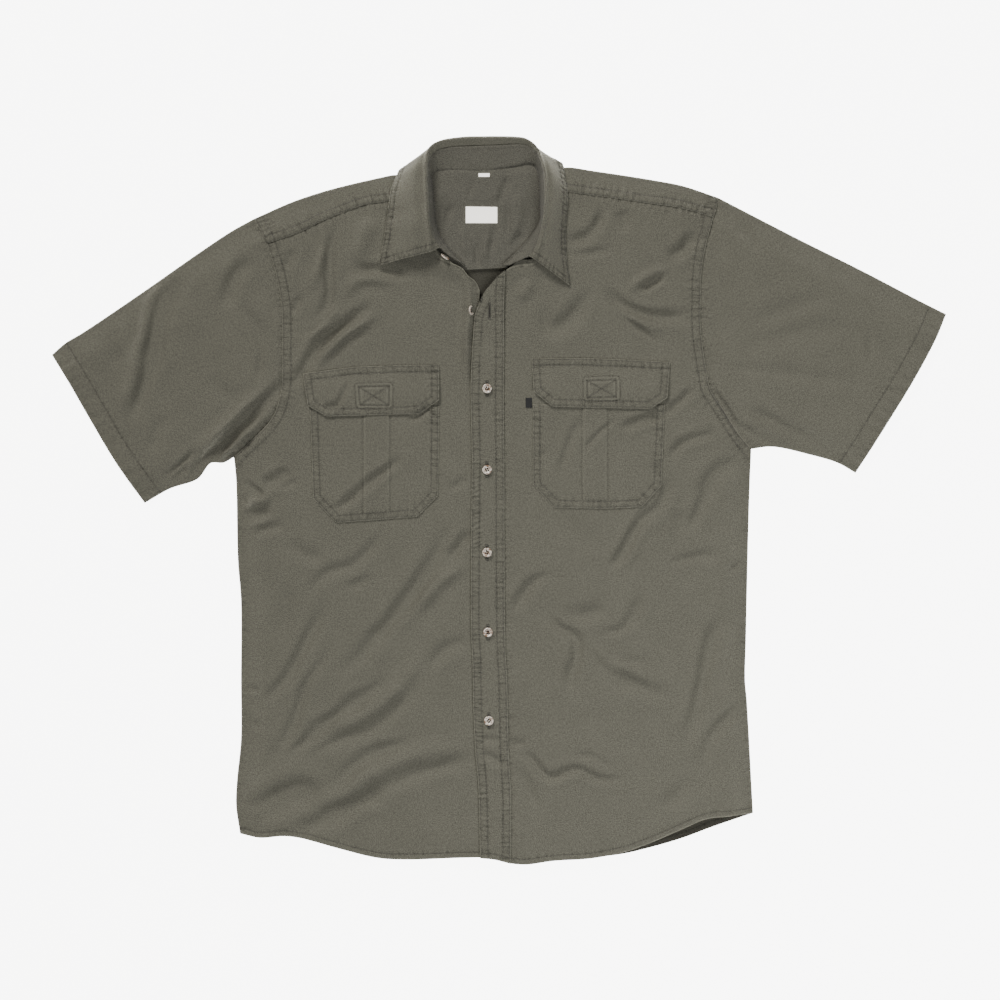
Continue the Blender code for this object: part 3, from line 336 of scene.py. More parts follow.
# Collar leaf, right point to left point: roll x, y, z, then edge x, y, z, and how far the leaf
# turns under (0 lies over the front, 1 lies under the back)
LEAF = [
    (-75.5, 279, 19, -136, 264, 7.0, 0), (-77, 290.5, 21, -131, 288, 7.0, 0),
    (-79.5, 311, 24, -127.5, 311, 6.8, 0), (-81, 335.5, 24.5, -124.5, 331, 6.6, 0),
    (-82, 358, 23.5, -121.5, 350, 6.6, 0), (-82, 381, 20.5, -116, 364, 6.4, 0),
    (-79, 394.5, 17, -111.5, 373, 4.6, 0.25), (-75, 399.5, 14, -106, 371.5, 2.0, 0.6),
    (-70, 402.5, 12, -100, 366, 0.75, 0.85),
    (-60, 405.4, 9.5, -85, 356, 0.6, 1), (-44, 407.4, 7.5, -62, 353, 0.6, 1),
    (-24, 408.2, 6.6, -33, 352.5, 0.6, 1), (1, 408.4, 6.6, 1, 352.5, 0.6, 1),
    (19, 407.9, 7.5, 26, 354.5, 0.6, 1), (30.5, 405.9, 9.5, 46, 359, 0.6, 1),
    (37, 402.5, 12, 57.5, 371, 0.75, 0.85), (41.5, 398, 14.5, 65, 379.5, 2.0, 0.6),
    (45.5, 390.5, 17.5, 71.5, 379.5, 4.8, 0.25),
    (48.5, 379.5, 21.5, 74.5, 366, 6.4, 0), (52, 364, 23.5, 77, 350, 6.6, 0),
    (52, 339, 24.5, 77, 333, 6.6, 0), (50, 314, 24.5, 75.5, 311, 6.8, 0),
    (47.5, 290.5, 22.5, 75.5, 280, 7.0, 0), (40.5, 270, 16.5, 81, 240.5, 7.0, 0),
]
LEAF_STEPS = 46
LEAF_FLOOR = 0.75           # lowest the middle of its cloth lies

# Buttons: x, y, and on the two that are turned the height and the way they face
FRONT_BUTTONS = [(-13.5, 125.5), (-13.5, 34), (-13.5, -59), (-12.5, -149), (-11.5, -248.5)]
TURNED_BUTTONS = [("button_6", -32.2, 213.5, 10.3, (0.90, 0.05, 0.43)),
                  ("button_7", -61.4, 272.6, 12.0, (0.53, 0.80, 0.28))]
OPEN_HOLE = (-10.7, 212.8)
HOLE_LENGTH = 17.0
LABEL = [(-37.5, 331), (-2, 330.5), (-2, 312.5), (-37.5, 312.5)]
SIZE_TAB = (-16.8, 366.4, 12.5, 4.0)     # middle x, y, width, height
SIDE_TAB = (33.6, 109.5, 7.0, 11.0)
PATCH_RIGHT = [(-158, 127.5), (-123.5, 128.5), (-124, 106.5), (-156.5, 107)]
PATCH_LEFT = [(99, 134.5), (132, 135.5), (132, 116), (99.5, 115)]

# Lines of a grid near a sewn edge, as distances from it: closer where the stitch rows run
NEAR_NONE = (0.0, 0.6, 1.4, 2.6)
NEAR_FOLD = (0.0, 0.12, 0.4, 0.9, 1.5, 2.2, 3.2)
NEAR_BAND = (0.0, 0.6, 1.3, 2.1, 3.6, 5.2, 6.8, 8.2, 9.1, 9.8, 10.5, 11.5, 13.2)
NEAR_HEM = (0.0, 0.5, 1.2, 2.4, 3.8, 5.0, 5.8, 6.6, 7.7, 9.4)
NEAR_DEEP_HEM = (0.0, 0.5, 1.2, 2.4, 5, 8, 11, 14, 17, 19.2, 20.4, 21.2, 22.0, 23.2, 25.5)
NEAR_ROWS = (0.0, 0.5, 1.3, 2.1, 3.5, 5.0, 6.5, 7.4, 8.1, 8.8, 9.9)

# A sewn edge: its line, the distances of its stitch rows, the width and rise of the band of
# folded cloth, and the height, reach and spacing of the puckers
Seam = namedtuple("Seam", "line rows band rise pucker reach pitch seed")
GROOVE = 0.50          # depth that a row of stitches pulls in
PUCKER = 1.35          # puckers are drawn this much higher than a seam's own figure
FOLD_DEPTH = 1.8       # and folds this much deeper than their table
LAP = 1.6              # how far a panel runs on under the piece sewn over it


def smooth(t):
    t = np.clip(t, 0.0, 1.0)
    return t * t * (3.0 - 2.0 * t)


def spline(table, steps, dims=2):
    """Points at even steps along a smooth curve through the table's points."""
    points = np.array(table, dtype=float)
    padded = np.vstack([2 * points[0] - points[1], points, 2 * points[-1] - points[-2]])
    fine = []
    for k in range(1, len(padded) - 2):
        a, b, c, d = padded[k - 1:k + 3]
        chord = [max(np.linalg.norm(q - p) ** 0.5, 1e-6) for p, q in ((a, b), (b, c), (c, d))]
        m1 = (c - b) - (c - a) * chord[1] / (chord[0] + chord[1]) + (b - a) * chord[1] / chord[0]
        m2 = (c - b) - (d - b) * chord[1] / (chord[1] + chord[2]) + (d - c) * chord[1] / chord[2]
        for t in np.arange(0.0, 1.0, 0.125):
            fine.append((2 * t ** 3 - 3 * t ** 2 + 1) * b + (t ** 3 - 2 * t ** 2 + t) * m1
                        + (-2 * t ** 3 + 3 * t ** 2) * c + (t ** 3 - t ** 2) * m2)
    fine.append(points[-1])
    return resample(np.array(fine), steps, dims)


def run_of(line, dims=2):
    """Distance along a line at each of its points."""
    return np.concatenate([[0.0], np.cumsum(np.linalg.norm(np.diff(line[:, :dims], axis=0),
                                                           axis=1))])


def at(line, ask, dims=2):
    """Points of a line at the given distances along it."""
    run = run_of(line, dims)
    return np.column_stack([np.interp(ask, run, line[:, k]) for k in range(line.shape[1])])


def resample(line, steps, dims=2):
    return at(line, np.linspace(0.0, run_of(line, dims)[-1], steps + 1), dims)


def chain(*parts):
    """Several curves end to end, each with its own number of steps."""
    sampled = [spline(table, steps) for table, steps in parts]
    return np.vstack([sampled[0]] + [s[1:] for s in sampled[1:]])


def shifted(line, distance):
    """A line moved sideways, to its left where the distance is positive."""
    ahead = np.gradient(line[:, :2], axis=0)
    ahead /= np.maximum(np.linalg.norm(ahead, axis=1), 1e-9)[:, None]
    out = line.copy()
    out[:, 0] -= ahead[:, 1] * distance
    out[:, 1] += ahead[:, 0] * distance
    return out


def coons(first, last, start, end):
    """Grid between two lines (rows run from first to last) with the ends of each row given."""
    rows, columns = len(start), len(first)
    first, last = first.copy(), last.copy()
    first[0], first[-1], last[0], last[-1] = start[0], end[0], start[-1], end[-1]
    v = np.linspace(0.0, 1.0, rows)[:, None, None]
    u = np.linspace(0.0, 1.0, columns)[None, :, None]
    ruled_v = (1 - v) * first[None] + v * last[None]
    ruled_u = (1 - u) * start[:, None] + u * end[:, None]
    corners = ((1 - u) * (1 - v) * first[0] + u * (1 - v) * first[-1]
               + (1 - u) * v * last[0] + u * v * last[-1])
    return ruled_v + ruled_u - corners


def respace(grid, near, far, count):
    """The same surface with new columns: near and far are distances from the two ends of each
    row, with count even columns between them."""
    rows = []
    for row in grid:
        end = run_of(row, row.shape[1])[-1]
        fit = min(1.0, 0.9 * end / (near[-1] + far[-1]))
        low, high = np.array(near) * fit, end - np.array(far)[::-1] * fit
        room = np.linspace(low[-1], high[0], count + 2)[1:-1]
        rows.append(at(row, np.concatenate([low, room, high]), row.shape[1]))
    return np.array(rows)


def turned(grid):
    return grid.transpose(1, 0, 2)


def nearest(xy, line, reach=None):
    """Distance from each point to a line and the place along it in millimetres. Points out of
    reach keep a large distance."""
    best = np.full(len(xy), 1e3)
    where = np.zeros(len(xy))
    line = line[:, :2]
    near = np.ones(len(xy), dtype=bool)
    if reach is not None:
        near = np.all((xy > line.min(axis=0) - reach) & (xy < line.max(axis=0) + reach), axis=1)
    points = xy[near]
    if len(points) == 0:
        return best, where
    run = run_of(line)
    close = np.full(len(points), 1e3)
    place = np.zeros(len(points))
    for k in range(len(line) - 1):
        span = line[k + 1] - line[k]
        length = run[k + 1] - run[k]
        t = np.clip(((points - line[k]) @ span) / max(length ** 2, 1e-9), 0.0, 1.0)
        d = np.hypot(points[:, 0] - line[k, 0] - t * span[0],
                     points[:, 1] - line[k, 1] - t * span[1])
        closer = d < close
        close[closer] = d[closer]
        place[closer] = run[k] + t[closer] * length
    best[near], where[near] = close, place
    return best, where


def swell(xy, size, seed):
    """Smooth unevenness from -1 to 1, with bumps of about the given size."""
    lattice = np.random.default_rng(seed).uniform(-1.0, 1.0, (64, 64))
    p = np.asarray(xy, dtype=float) / size
    cell = np.floor(p).astype(int)
    t = smooth(p - cell)
    i, j = cell[:, 0] % 64, cell[:, 1] % 64
    low = lattice[i, j] * (1 - t[:, 0]) + lattice[(i + 1) % 64, j] * t[:, 0]
    high = lattice[i, (j + 1) % 64] * (1 - t[:, 0]) + lattice[(i + 1) % 64, (j + 1) % 64] * t[:, 0]
    return low * (1 - t[:, 1]) + high * t[:, 1]


def along_swell(s, size, seed):
    return swell(np.column_stack([s, np.zeros(len(s))]), size, seed)


def ripple(s, d, pitch, seed):
    """Uneven puckers along a seam, from about -1 to 1, each leaning its own way."""
    lean = s + d * 0.5 * along_swell(s, 34.0, seed + 7)
    drift = along_swell(s, 19.0, seed) * pitch * 0.6
    size = 0.55 + 0.45 * along_swell(s, 27.0, seed + 1)
    fine = swell(np.column_stack([lean, d * 0.3]), pitch * 0.36, seed + 2)
    wave = np.sin(math.tau * (lean + drift) / pitch)
    return (0.5 * wave - 0.8 * smooth((-wave - 0.3) / 0.7)) * size + 0.5 * fine


def sewn(d, s, seam):
    """Height and marks that a sewn edge gives at distance d from it and s along it. The marks
    are the tone (above 0 where the edge is worn pale and as painted light on the crests of the
    puckers, below 0 as painted shade in the pulled-in rows and the troughs of the puckers), s, d,
    and how much the cloth is crimped by the thread."""
    rows = seam.rows or (0.0,)
    lift = seam.rise * (1 - smooth((d - seam.band) / 1.0 + 0.5))
    lift = lift - 0.35 * np.exp(-(d / 0.6) ** 2) * (seam.band > 0)
    tone = 1.2 * np.exp(-(d / 1.1) ** 2) * (seam.band > 0)
    for row in seam.rows:
        pull = np.exp(-((d - row) / 0.75) ** 2) * (0.8 + 0.3 * along_swell(s, 9.0, seam.seed + 3))
        lift = lift - GROOVE * pull
        # Painted shade: each pulled-in row is darkened in colour as well as sunk.
        tone = tone - 0.85 * pull
    outside = np.maximum(np.maximum(rows[0] - d, d - rows[-1]), 0.0)
    wave = ripple(s, d, seam.pitch, seam.seed) * np.exp(-(outside / seam.reach) ** 2)
    crimp = np.exp(-(outside / (2.6 if seam.rows else 5.0)) ** 2) * (0.5 + seam.pucker * 1.4)
    # Painted light and shade: the puckers' crests are painted lighter and their troughs darker.
    marks = np.column_stack([tone + 0.25 * wave * (seam.pucker > 0), s + seam.seed * 61.0, d,
                             crimp * (seam.pucker > 0)])
    return lift + PUCKER * seam.pucker * wave, marks


def join_marks(marks, more):
    """Add the marks of one more edge: tones add up, and the rest stays with the edge that
    crimps the cloth most."""
    tone = marks[:, 0] + more[:, 0]
    stronger = more[:, 3] > marks[:, 3]
    marks[stronger] = more[stronger]
    marks[:, 0] = tone


def relief(xy, seams):
    """Height and marks of several sewn edges."""
    lift, marks = np.zeros(len(xy)), np.zeros((len(xy), 4))
    for seam in seams:
        reach = max(seam.band, seam.rows[-1] if seam.rows else 0.0) + 2.5 * seam.reach
        d, s = nearest(xy, seam.line, reach)
        dz, more = sewn(d, s, seam)
        lift += dz
        join_marks(marks, more)
    return lift, marks


def fold_field(xy, folds):
    """Sum of the listed folds. Each is uneven along its length, and a trough has a low ridge
    on both sides."""
    total = np.zeros(len(xy))
    for number, (points, width, rise) in enumerate(folds):
        # What shows is a fold's shaded side, so the fold lies a little further from the light
        line = spline(points, 16) + 0.55 * width * np.array([0.45, -0.89])
        d, s = nearest(xy, line, reach=width * 4.0)
        near = d < width * 4.0
        if not near.any():
            continue
        length = run_of(line)[-1]
        t, dn, sn = s[near] / length, d[near], s[near]
        q = dn / (width * (0.86 + 0.20 * along_swell(sn, 26.0, 40 + number)))
        profile = np.exp(-q * q) - 0.16 * np.exp(-((q - 2.1) / 0.9) ** 2)
        depth = rise * (1.0 + 0.25 * along_swell(sn, 17.0, 140 + number))
        total[near] += depth * profile * smooth(t / 0.32) * smooth((1 - t) / 0.32)
    return FOLD_DEPTH * total


SILHOUETTE = [spline(table, 60) for table in (
    SHOULDER_RIGHT, SHOULDER_LEFT, SLEEVE_TOP_RIGHT, SLEEVE_TOP_LEFT, UNDERARM_RIGHT,
    UNDERARM_LEFT, SIDE_RIGHT, SIDE_LEFT)]
LIPS = [spline(table, 60) for table in (LIP_RIGHT, LIP_LEFT)]


def yoke_lift(xy):
    """How far the collar leaf, folded under at the back, lifts what lies on it."""
    x, y = xy[:, 0], xy[:, 1]
    across = smooth((x + 150) / 30) * smooth((108 - x) / 30)
    return LEAF_LIFT * across * smooth((y - 322) / 26)


def height(xy):
    """Underside of the upper cloth over the surface, at each (x, y) in millimetres."""
    flat = np.asarray(xy, dtype=float).reshape(-1, 2)
    edge = np.min([nearest(flat, line)[0] for line in SILHOUETTE], axis=0)
    loft = LOFT * smooth(edge / LOFT_RUN)
    for size, rise in ((64.0, 0.8), (29.0, 0.25), (12.0, 0.10), (5.5, 0.05)):
        loft += rise * swell(flat, size, int(size))
    loft += fold_field(flat, FOLDS)
    loft = 0.5 * (loft + np.sqrt(loft * loft + 1.4)) - 0.1
    loft *= smooth(edge / 9.0)
    for line in LIPS:
        d, s = nearest(flat, line)
        lift = np.interp(s / run_of(line)[-1], np.linspace(0, 1, len(line)), line[:, 2])
        loft = np.maximum(loft, lift * (1 - smooth(d / LIP_RUN)) + loft * smooth(d / LIP_RUN))
    return (yoke_lift(flat) + LAYER + loft).reshape(np.shape(xy)[:-1])


def rolled(d, top, middle):
    """Height near a folded edge, which turns down over EDGE_ROLL to the fold's middle."""
    part = 1.0 - np.clip(d / EDGE_ROLL, 0.0, 1.0)
    return middle + (top - middle) * np.sqrt(np.maximum(1.0 - part * part, 0.0))


# ---------------------------------------------------------------- materials

def linear(colour):
    """sRGB hex, such as 6b6859, as linear red, green, blue and alpha."""
    values = [int(colour[k:k + 2], 16) / 255 for k in (0, 2, 4)]
    return tuple(v / 12.92 if v <= 0.04045 else ((v + 0.055) / 1.055) ** 2.4
                 for v in values) + (1.0,)


def add(tree, kind, sockets=None, **settings):
    """Add a node with its settings. A socket is given a value, or another node's output, which
    is linked to it."""
    node = tree.nodes.new(kind)
    for name, value in settings.items():
        setattr(node, name, value)
    for name, value in (sockets or {}).items():
        if isinstance(value, bpy.types.NodeSocket):
            tree.links.new(value, node.inputs[name])
        else:
            node.inputs[name].default_value = value
    return node


def new_material(name):
    mat = bpy.data.materials.new(name)
    mat.use_nodes = True
    mat.node_tree.nodes.clear()
    return mat, mat.node_tree


def cotton_twill(name, colour):
    """Cotton twill, piece-dyed and garment-washed: matt, with diagonal ribs, a fine speckle
    where the dye took unevenly, crimps that the wash drew up along the seams, and paler edges
    where the folded cloth rubs. The crimps' creases are darkened as painted shade, and the seam
    marks paint shade into stitch rows and grooves and light onto the raised cloth beside them."""
    mat, tree = new_material(name)
    weave = add(tree, "ShaderNodeUVMap", uv_map="weave").outputs["UV"]
    seam = add(tree, "ShaderNodeAttribute", attribute_name="seam_tone").outputs["Fac"]
    place = add(tree, "ShaderNodeAttribute", attribute_name="seam_place").outputs["Vector"]
    turn = add(tree, "ShaderNodeMapping", {"Vector": weave, "Rotation": (0, 0, math.radians(63))})
    # Real ribs stand 0.5 mm apart, too fine to show, so they are drawn 1.3 mm apart
    ribs = add(tree, "ShaderNodeTexWave", {"Vector": turn.outputs[0], "Scale": 0.314 / 0.0013,
                                           "Distortion": 1.6, "Detail": 1.0,
                                           "Detail Scale": 2.0})
    # Yarn slubs about 1.2 mm, speckle 2.5 mm, wash marks 25 mm and 90 mm
    slub = add(tree, "ShaderNodeTexNoise", {"Vector": weave, "Scale": 1 / 0.0011, "Detail": 2.0})
    fleck = add(tree, "ShaderNodeTexNoise", {"Vector": weave, "Scale": 1 / 0.0030, "Detail": 2.0})
    mark = add(tree, "ShaderNodeTexNoise", {"Vector": weave, "Scale": 1 / 0.025, "Detail": 3.0})
    broad = add(tree, "ShaderNodeTexNoise", {"Vector": weave, "Scale": 1 / 0.09, "Detail": 2.0})
    light = 1.0
    for source, amount in ((slub, 1.90), (fleck, 0.56), (mark, 0.18), (broad, 0.08)):
        light = add(tree, "ShaderNodeMath", {0: source.outputs["Fac"], 1: amount, 2: light},
                    operation="MULTIPLY_ADD").outputs[0]
    light = add(tree, "ShaderNodeMath", {0: light, 1: 1.36}, operation="SUBTRACT").outputs[0]
    # The seam marks add the worn pale edges, and painted light and shade at the stitch rows,
    # puckers and grooves.
    light = add(tree, "ShaderNodeMath", {0: seam, 1: 0.42, 2: light},
                operation="MULTIPLY_ADD").outputs[0]
    # Crimps about 3 mm apart lie across a seam: X is along it and Y across it, in millimetres
    drawn = add(tree, "ShaderNodeMapping", {"Vector": place, "Rotation": (0, 0, math.radians(4)),
                                            "Scale": (1 / 2.9, 1 / 22.0, 0.0)})
    crimp = add(tree, "ShaderNodeTexNoise", {"Vector": drawn.outputs[0], "Scale": 1.0,
                                             "Detail": 1.0})
    crease = add(tree, "ShaderNodeMapRange", {"Value": crimp.outputs["Fac"], "From Min": 0.48,
                                              "From Max": 0.70}).outputs[0]
    strength = add(tree, "ShaderNodeSeparateXYZ", {"Vector": place}).outputs["Z"]
    crease = add(tree, "ShaderNodeMath", {0: crease, 1: strength},
                 operation="MULTIPLY").outputs[0]
    # Painted shade: the creases of the crimps are darkened in colour, besides the bump below.
    light = add(tree, "ShaderNodeMath", {0: crease, 1: -0.17, 2: light},
                operation="MULTIPLY_ADD").outputs[0]
    tinted = add(tree, "ShaderNodeVectorMath", {0: colour, "Scale": light},
                 operation="SCALE").outputs[0]
    rough = add(tree, "ShaderNodeMapRange", {"Value": mark.outputs["Fac"], "To Min": 0.84,
                                             "To Max": 0.95}).outputs[0]
    rise = add(tree, "ShaderNodeMath", {0: ribs.outputs["Fac"], 1: 0.35, 2: slub.outputs["Fac"]},
               operation="MULTIPLY_ADD").outputs[0]
    bump = add(tree, "ShaderNodeBump", {"Height": rise, "Strength": 0.35, "Distance": 0.0004})
    pinch = add(tree, "ShaderNodeBump", {"Height": crease, "Strength": 0.6, "Distance": 0.0006,
                                         "Normal": bump.outputs[0]}, invert=True)
    shader = add(tree, "ShaderNodeBsdfPrincipled",
                 {"Base Color": tinted, "Roughness": rough, "Normal": pinch.outputs[0],
                  "Sheen Weight": 0.12, "Sheen Roughness": 0.5, "Specular IOR Level": 0.25})
    add(tree, "ShaderNodeOutputMaterial", {"Surface": shader.outputs[0]})
    return mat


def polyester_thread(name, colour):
    """Spun polyester sewing thread: a soft shine, with the twist as fine ribs."""
    mat, tree = new_material(name)
    place = add(tree, "ShaderNodeTexCoord").outputs["Object"]
    twist = add(tree, "ShaderNodeTexNoise", {"Vector": place, "Scale": 1 / 0.0012, "Detail": 1.0})
    tone = add(tree, "ShaderNodeMapRange", {"Value": twist.outputs["Fac"], "To Min": 0.7,
                                            "To Max": 1.25}).outputs[0]
    tinted = add(tree, "ShaderNodeVectorMath", {0: colour, "Scale": tone},
                 operation="SCALE").outputs[0]
    bump = add(tree, "ShaderNodeBump", {"Height": twist.outputs["Fac"], "Strength": 0.3,
                                        "Distance": 0.0002})
    shader = add(tree, "ShaderNodeBsdfPrincipled",
                 {"Base Color": tinted, "Roughness": 0.6, "Normal": bump.outputs[0],
                  "Sheen Weight": 0.1})
    add(tree, "ShaderNodeOutputMaterial", {"Surface": shader.outputs[0]})
    return mat


def cast_polyester(name, pale, dark):
    """Cast polyester resin, turned and tumbled to look like shell: glossy, with cloudy layers of
    cream and brown."""
    mat, tree = new_material(name)
    place = add(tree, "ShaderNodeTexCoord").outputs["Object"]
    cloud = add(tree, "ShaderNodeTexNoise", {"Vector": place, "Scale": 1 / 0.0030, "Detail": 2.0,
                                             "Distortion": 0.8})
    layer = add(tree, "ShaderNodeMapRange", {"Value": cloud.outputs["Fac"], "From Min": 0.38,
                                             "From Max": 0.56}).outputs[0]
    mixed = add(tree, "ShaderNodeMix", {0: layer, 6: (*dark, 1.0), 7: (*pale, 1.0)},
                data_type="RGBA").outputs[2]
    shader = add(tree, "ShaderNodeBsdfPrincipled",
                 {"Base Color": mixed, "Roughness": 0.18, "Coat Weight": 0.4,
                  "Coat Roughness": 0.1})
    add(tree, "ShaderNodeOutputMaterial", {"Surface": shader.outputs[0]})
    return mat


def woven_tape(name, colour, glow=0.0):
    """Woven polyester tape, as used for labels: fine even ribs across its width.

    Its glow is painted light: an emission that makes white tape brighter than the lamps make it."""
    mat, tree = new_material(name)
    place = add(tree, "ShaderNodeTexCoord").outputs["Object"]
    # Ribs of 0.3 mm, drawn 0.9 mm apart so that they show
    ribs = add(tree, "ShaderNodeTexWave", {"Vector": place, "Scale": 0.314 / 0.0009,
                                           "Distortion": 0.4}, bands_direction="Y")
    specks = add(tree, "ShaderNodeTexNoise", {"Vector": place, "Scale": 1 / 0.0015})
    tone = add(tree, "ShaderNodeMapRange", {"Value": specks.outputs["Fac"], "To Min": 0.88,
                                            "To Max": 1.10}).outputs[0]
    tinted = add(tree, "ShaderNodeVectorMath", {0: colour, "Scale": tone},
                 operation="SCALE").outputs[0]
    bump = add(tree, "ShaderNodeBump", {"Height": ribs.outputs["Fac"], "Strength": 0.3,
                                        "Distance": 0.0002})
    # Painted light: the emission makes the tape glow though it is no lamp.
    shader = add(tree, "ShaderNodeBsdfPrincipled",
                 {"Base Color": tinted, "Roughness": 0.7, "Normal": bump.outputs[0],
                  "Sheen Weight": 0.15, "Emission Color": (*colour, 1.0),
                  "Emission Strength": glow})
    add(tree, "ShaderNodeOutputMaterial", {"Surface": shader.outputs[0]})
    return mat


def lit_board(name, colour, glow):
    """Opal acrylic board, matt and lit from below, as used for cut-out photographs."""
    mat, tree = new_material(name)
    place = add(tree, "ShaderNodeTexCoord").outputs["Object"]
    grain = add(tree, "ShaderNodeTexNoise", {"Vector": place, "Scale": 1 / 0.004})
    bump = add(tree, "ShaderNodeBump", {"Height": grain.outputs["Fac"], "Strength": 0.02,
                                        "Distance": 0.0005})
    shader = add(tree, "ShaderNodeBsdfPrincipled",
                 {"Base Color": (*colour, 1.0), "Roughness": 0.9, "Normal": bump.outputs[0],
                  "Specular IOR Level": 0.1, "Emission Color": (*colour, 1.0),
                  "Emission Strength": glow})
    add(tree, "ShaderNodeOutputMaterial", {"Surface": shader.outputs[0]})
    return mat


FINISHES = {}


def finish(kind):
    """The finish of that name, made once from the panel's colours."""
    if kind not in FINISHES:
        tint = {name: tuple(getattr(bpy.context.scene.shirt_colours, name))
                for name in ShirtColours.__annotations__}
        made = {
            "twill": lambda: cotton_twill("cotton_twill_olive", tint["cloth"]),
            "inside": lambda: cotton_twill("cotton_twill_olive_inside", tint["inside"]),
            "back_inside_painted_shade": lambda: cotton_twill("cotton_twill_olive_dark", tint["back_inside_painted_shade"]),
            "thread": lambda: polyester_thread("polyester_thread_olive", tint["thread"]),
            "dark_thread_painted_shade": lambda: polyester_thread("polyester_thread_dark", tint["dark_thread_painted_shade"]),
            "shell": lambda: cast_polyester("cast_polyester_shell", tint["shell"],
                                            tint["shell_dark"]),
            "label": lambda: woven_tape("woven_tape_white", tint["label"], sizes().label_painted_light),
            "black_tape": lambda: woven_tape("woven_tape_black", tint["side_tab"]),
            "table": lambda: lit_board("lit_board_white", tint["table"], sizes().table_glow),
        }
        FINISHES[kind] = made[kind]()
    return FINISHES[kind]


# ---------------------------------------------------------------- making cloth

def collection():
    return bpy.context.scene.collection


def grid_mesh(points, marks=None, weave=None):
    """A grid mapped onto rows of points, with its weave directions as UV and the marks of its
    seams as attributes."""
    rows, columns = points.shape[:2]
    bm = bmesh.new()
    bmesh.ops.create_grid(bm, x_segments=columns - 1, y_segments=rows - 1, size=1.0)
    mesh = bpy.data.meshes.new("grid")
    bm.to_mesh(mesh)
    bm.free()
    co = np.empty(rows * columns * 3)
    mesh.vertices.foreach_get("co", co)
    co = co.reshape(-1, 3)
    j = np.rint((co[:, 0] + 1) / 2 * (columns - 1)).astype(int)
    i = np.rint((co[:, 1] + 1) / 2 * (rows - 1)).astype(int)
    mesh.vertices.foreach_set("co", (points[i, j] * MM).ravel())
    marks = np.zeros((rows, columns, 4)) if marks is None else marks
    tone = mesh.attributes.new("seam_tone", "FLOAT", "POINT")
    tone.data.foreach_set("value", marks[i, j, 0])
    place = mesh.attributes.new("seam_place", "FLOAT_VECTOR", "POINT")
    place.data.foreach_set("vector", marks[i, j, 1:].ravel())
    uv = points[:, :, :2] if weave is None else weave
    layer = mesh.uv_layers.new(name="weave")
    corner = np.empty(len(mesh.loops), dtype=np.int32)
    mesh.loops.foreach_get("vertex_index", corner)
    layer.data.foreach_set("uv", (uv[i, j][corner] * MM).ravel())
    mesh.update()
    return mesh


def faces_up(mesh, face=None):
    """Turn a mesh over if the given face, or its middle one, faces down."""
    mesh.update()
    face = mesh.polygons[len(mesh.polygons) // 2 if face is None else face]
    if face.normal.z < 0:
        mesh.flip_normals()


def finish_piece(name, mesh, material, node=None, shell=None, offset=-1.0,
                 inside=None):
    """Make the object, give it its wall and material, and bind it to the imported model. A wall
    can have another finish on its inside."""
    mesh.name = name
    mesh.shade_smooth()
    mesh.materials.append(material)
    obj = bpy.data.objects.new(name, mesh)
    collection().objects.link(obj)
    if shell:
        wall = obj.modifiers.new("wall", "SOLIDIFY")
        wall.thickness, wall.offset = shell, offset
        wall.use_rim = True
        if inside:
            mesh.materials.append(inside)
            wall.material_offset = 1
    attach(obj, "root")
    if node:
        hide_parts(*([node] if isinstance(node, str) else node))
    return obj


def cloth(name, grid, z, marks, node):
    """A single panel whose outer face is the given grid and heights."""
    mesh = grid_mesh(np.dstack([grid, z]), marks)
    faces_up(mesh)
    return finish_piece(name, mesh, finish("twill"), node, shell=sizes().shell,
                        inside=finish("inside"))


def sizes():
    return bpy.context.scene.shirt_sizes


# ---------------------------------------------------------------- stitches and thread

def stitch_shape():
    """Vertices and faces of one stitch: a grain of thread, 1 unit long along X."""
    bm = bmesh.new()
    bmesh.ops.create_uvsphere(bm, u_segments=5, v_segments=4, radius=0.5)
    bmesh.ops.rotate(bm, verts=bm.verts[:], cent=(0, 0, 0),
                     matrix=Matrix.Rotation(math.pi / 2, 3, "Y"))
    bm.verts.index_update()
    verts = np.array([v.co[:] for v in bm.verts])
    faces = [[v.index for v in f.verts] for f in bm.faces]
    bm.free()
    return verts, faces


def repeated(name, shape, places, axes, scales, material):
    """One mesh of many copies of a shape. axes holds the three directions of each copy."""
    verts, faces = shape
    count, size = len(places), len(verts)
    local = verts[None] * scales[:, None]
    world = np.einsum("nvk,nkd->nvd", local, axes) + places[:, None]
    mesh = bpy.data.meshes.new(name)
    starts = np.arange(count) * size
    every = [tuple(int(i) + int(s) for i in face) for s in starts for face in faces]
    mesh.from_pydata((world.reshape(-1, 3) * MM).tolist(), [], every)
    return finish_piece(name, mesh, material)


def stitch_frames(line, pitch, seed):
    """Places and directions of stitches along a 3-D line."""
    run = run_of(line, 3)
    count = max(int(run[-1] / pitch), 2)
    ask = (np.arange(count) + 0.5) * run[-1] / count
    middle, ahead = at(line, ask, 3), at(line, ask + 0.4, 3) - at(line, ask - 0.4, 3)
    ahead /= np.maximum(np.linalg.norm(ahead, axis=1), 1e-9)[:, None]
    side = np.cross([0.0, 0.0, 1.0], ahead)
    side /= np.maximum(np.linalg.norm(side, axis=1), 1e-9)[:, None]
    slant = np.random.default_rng(seed).normal(0.10, 0.07, count)[:, None]
    ahead = ahead + side * slant
    ahead /= np.linalg.norm(ahead, axis=1)[:, None]
    side = np.cross(np.cross(ahead, side), ahead)
    side /= np.linalg.norm(side, axis=1)[:, None]
    return middle, np.stack([ahead, side, np.cross(ahead, side)], axis=1)


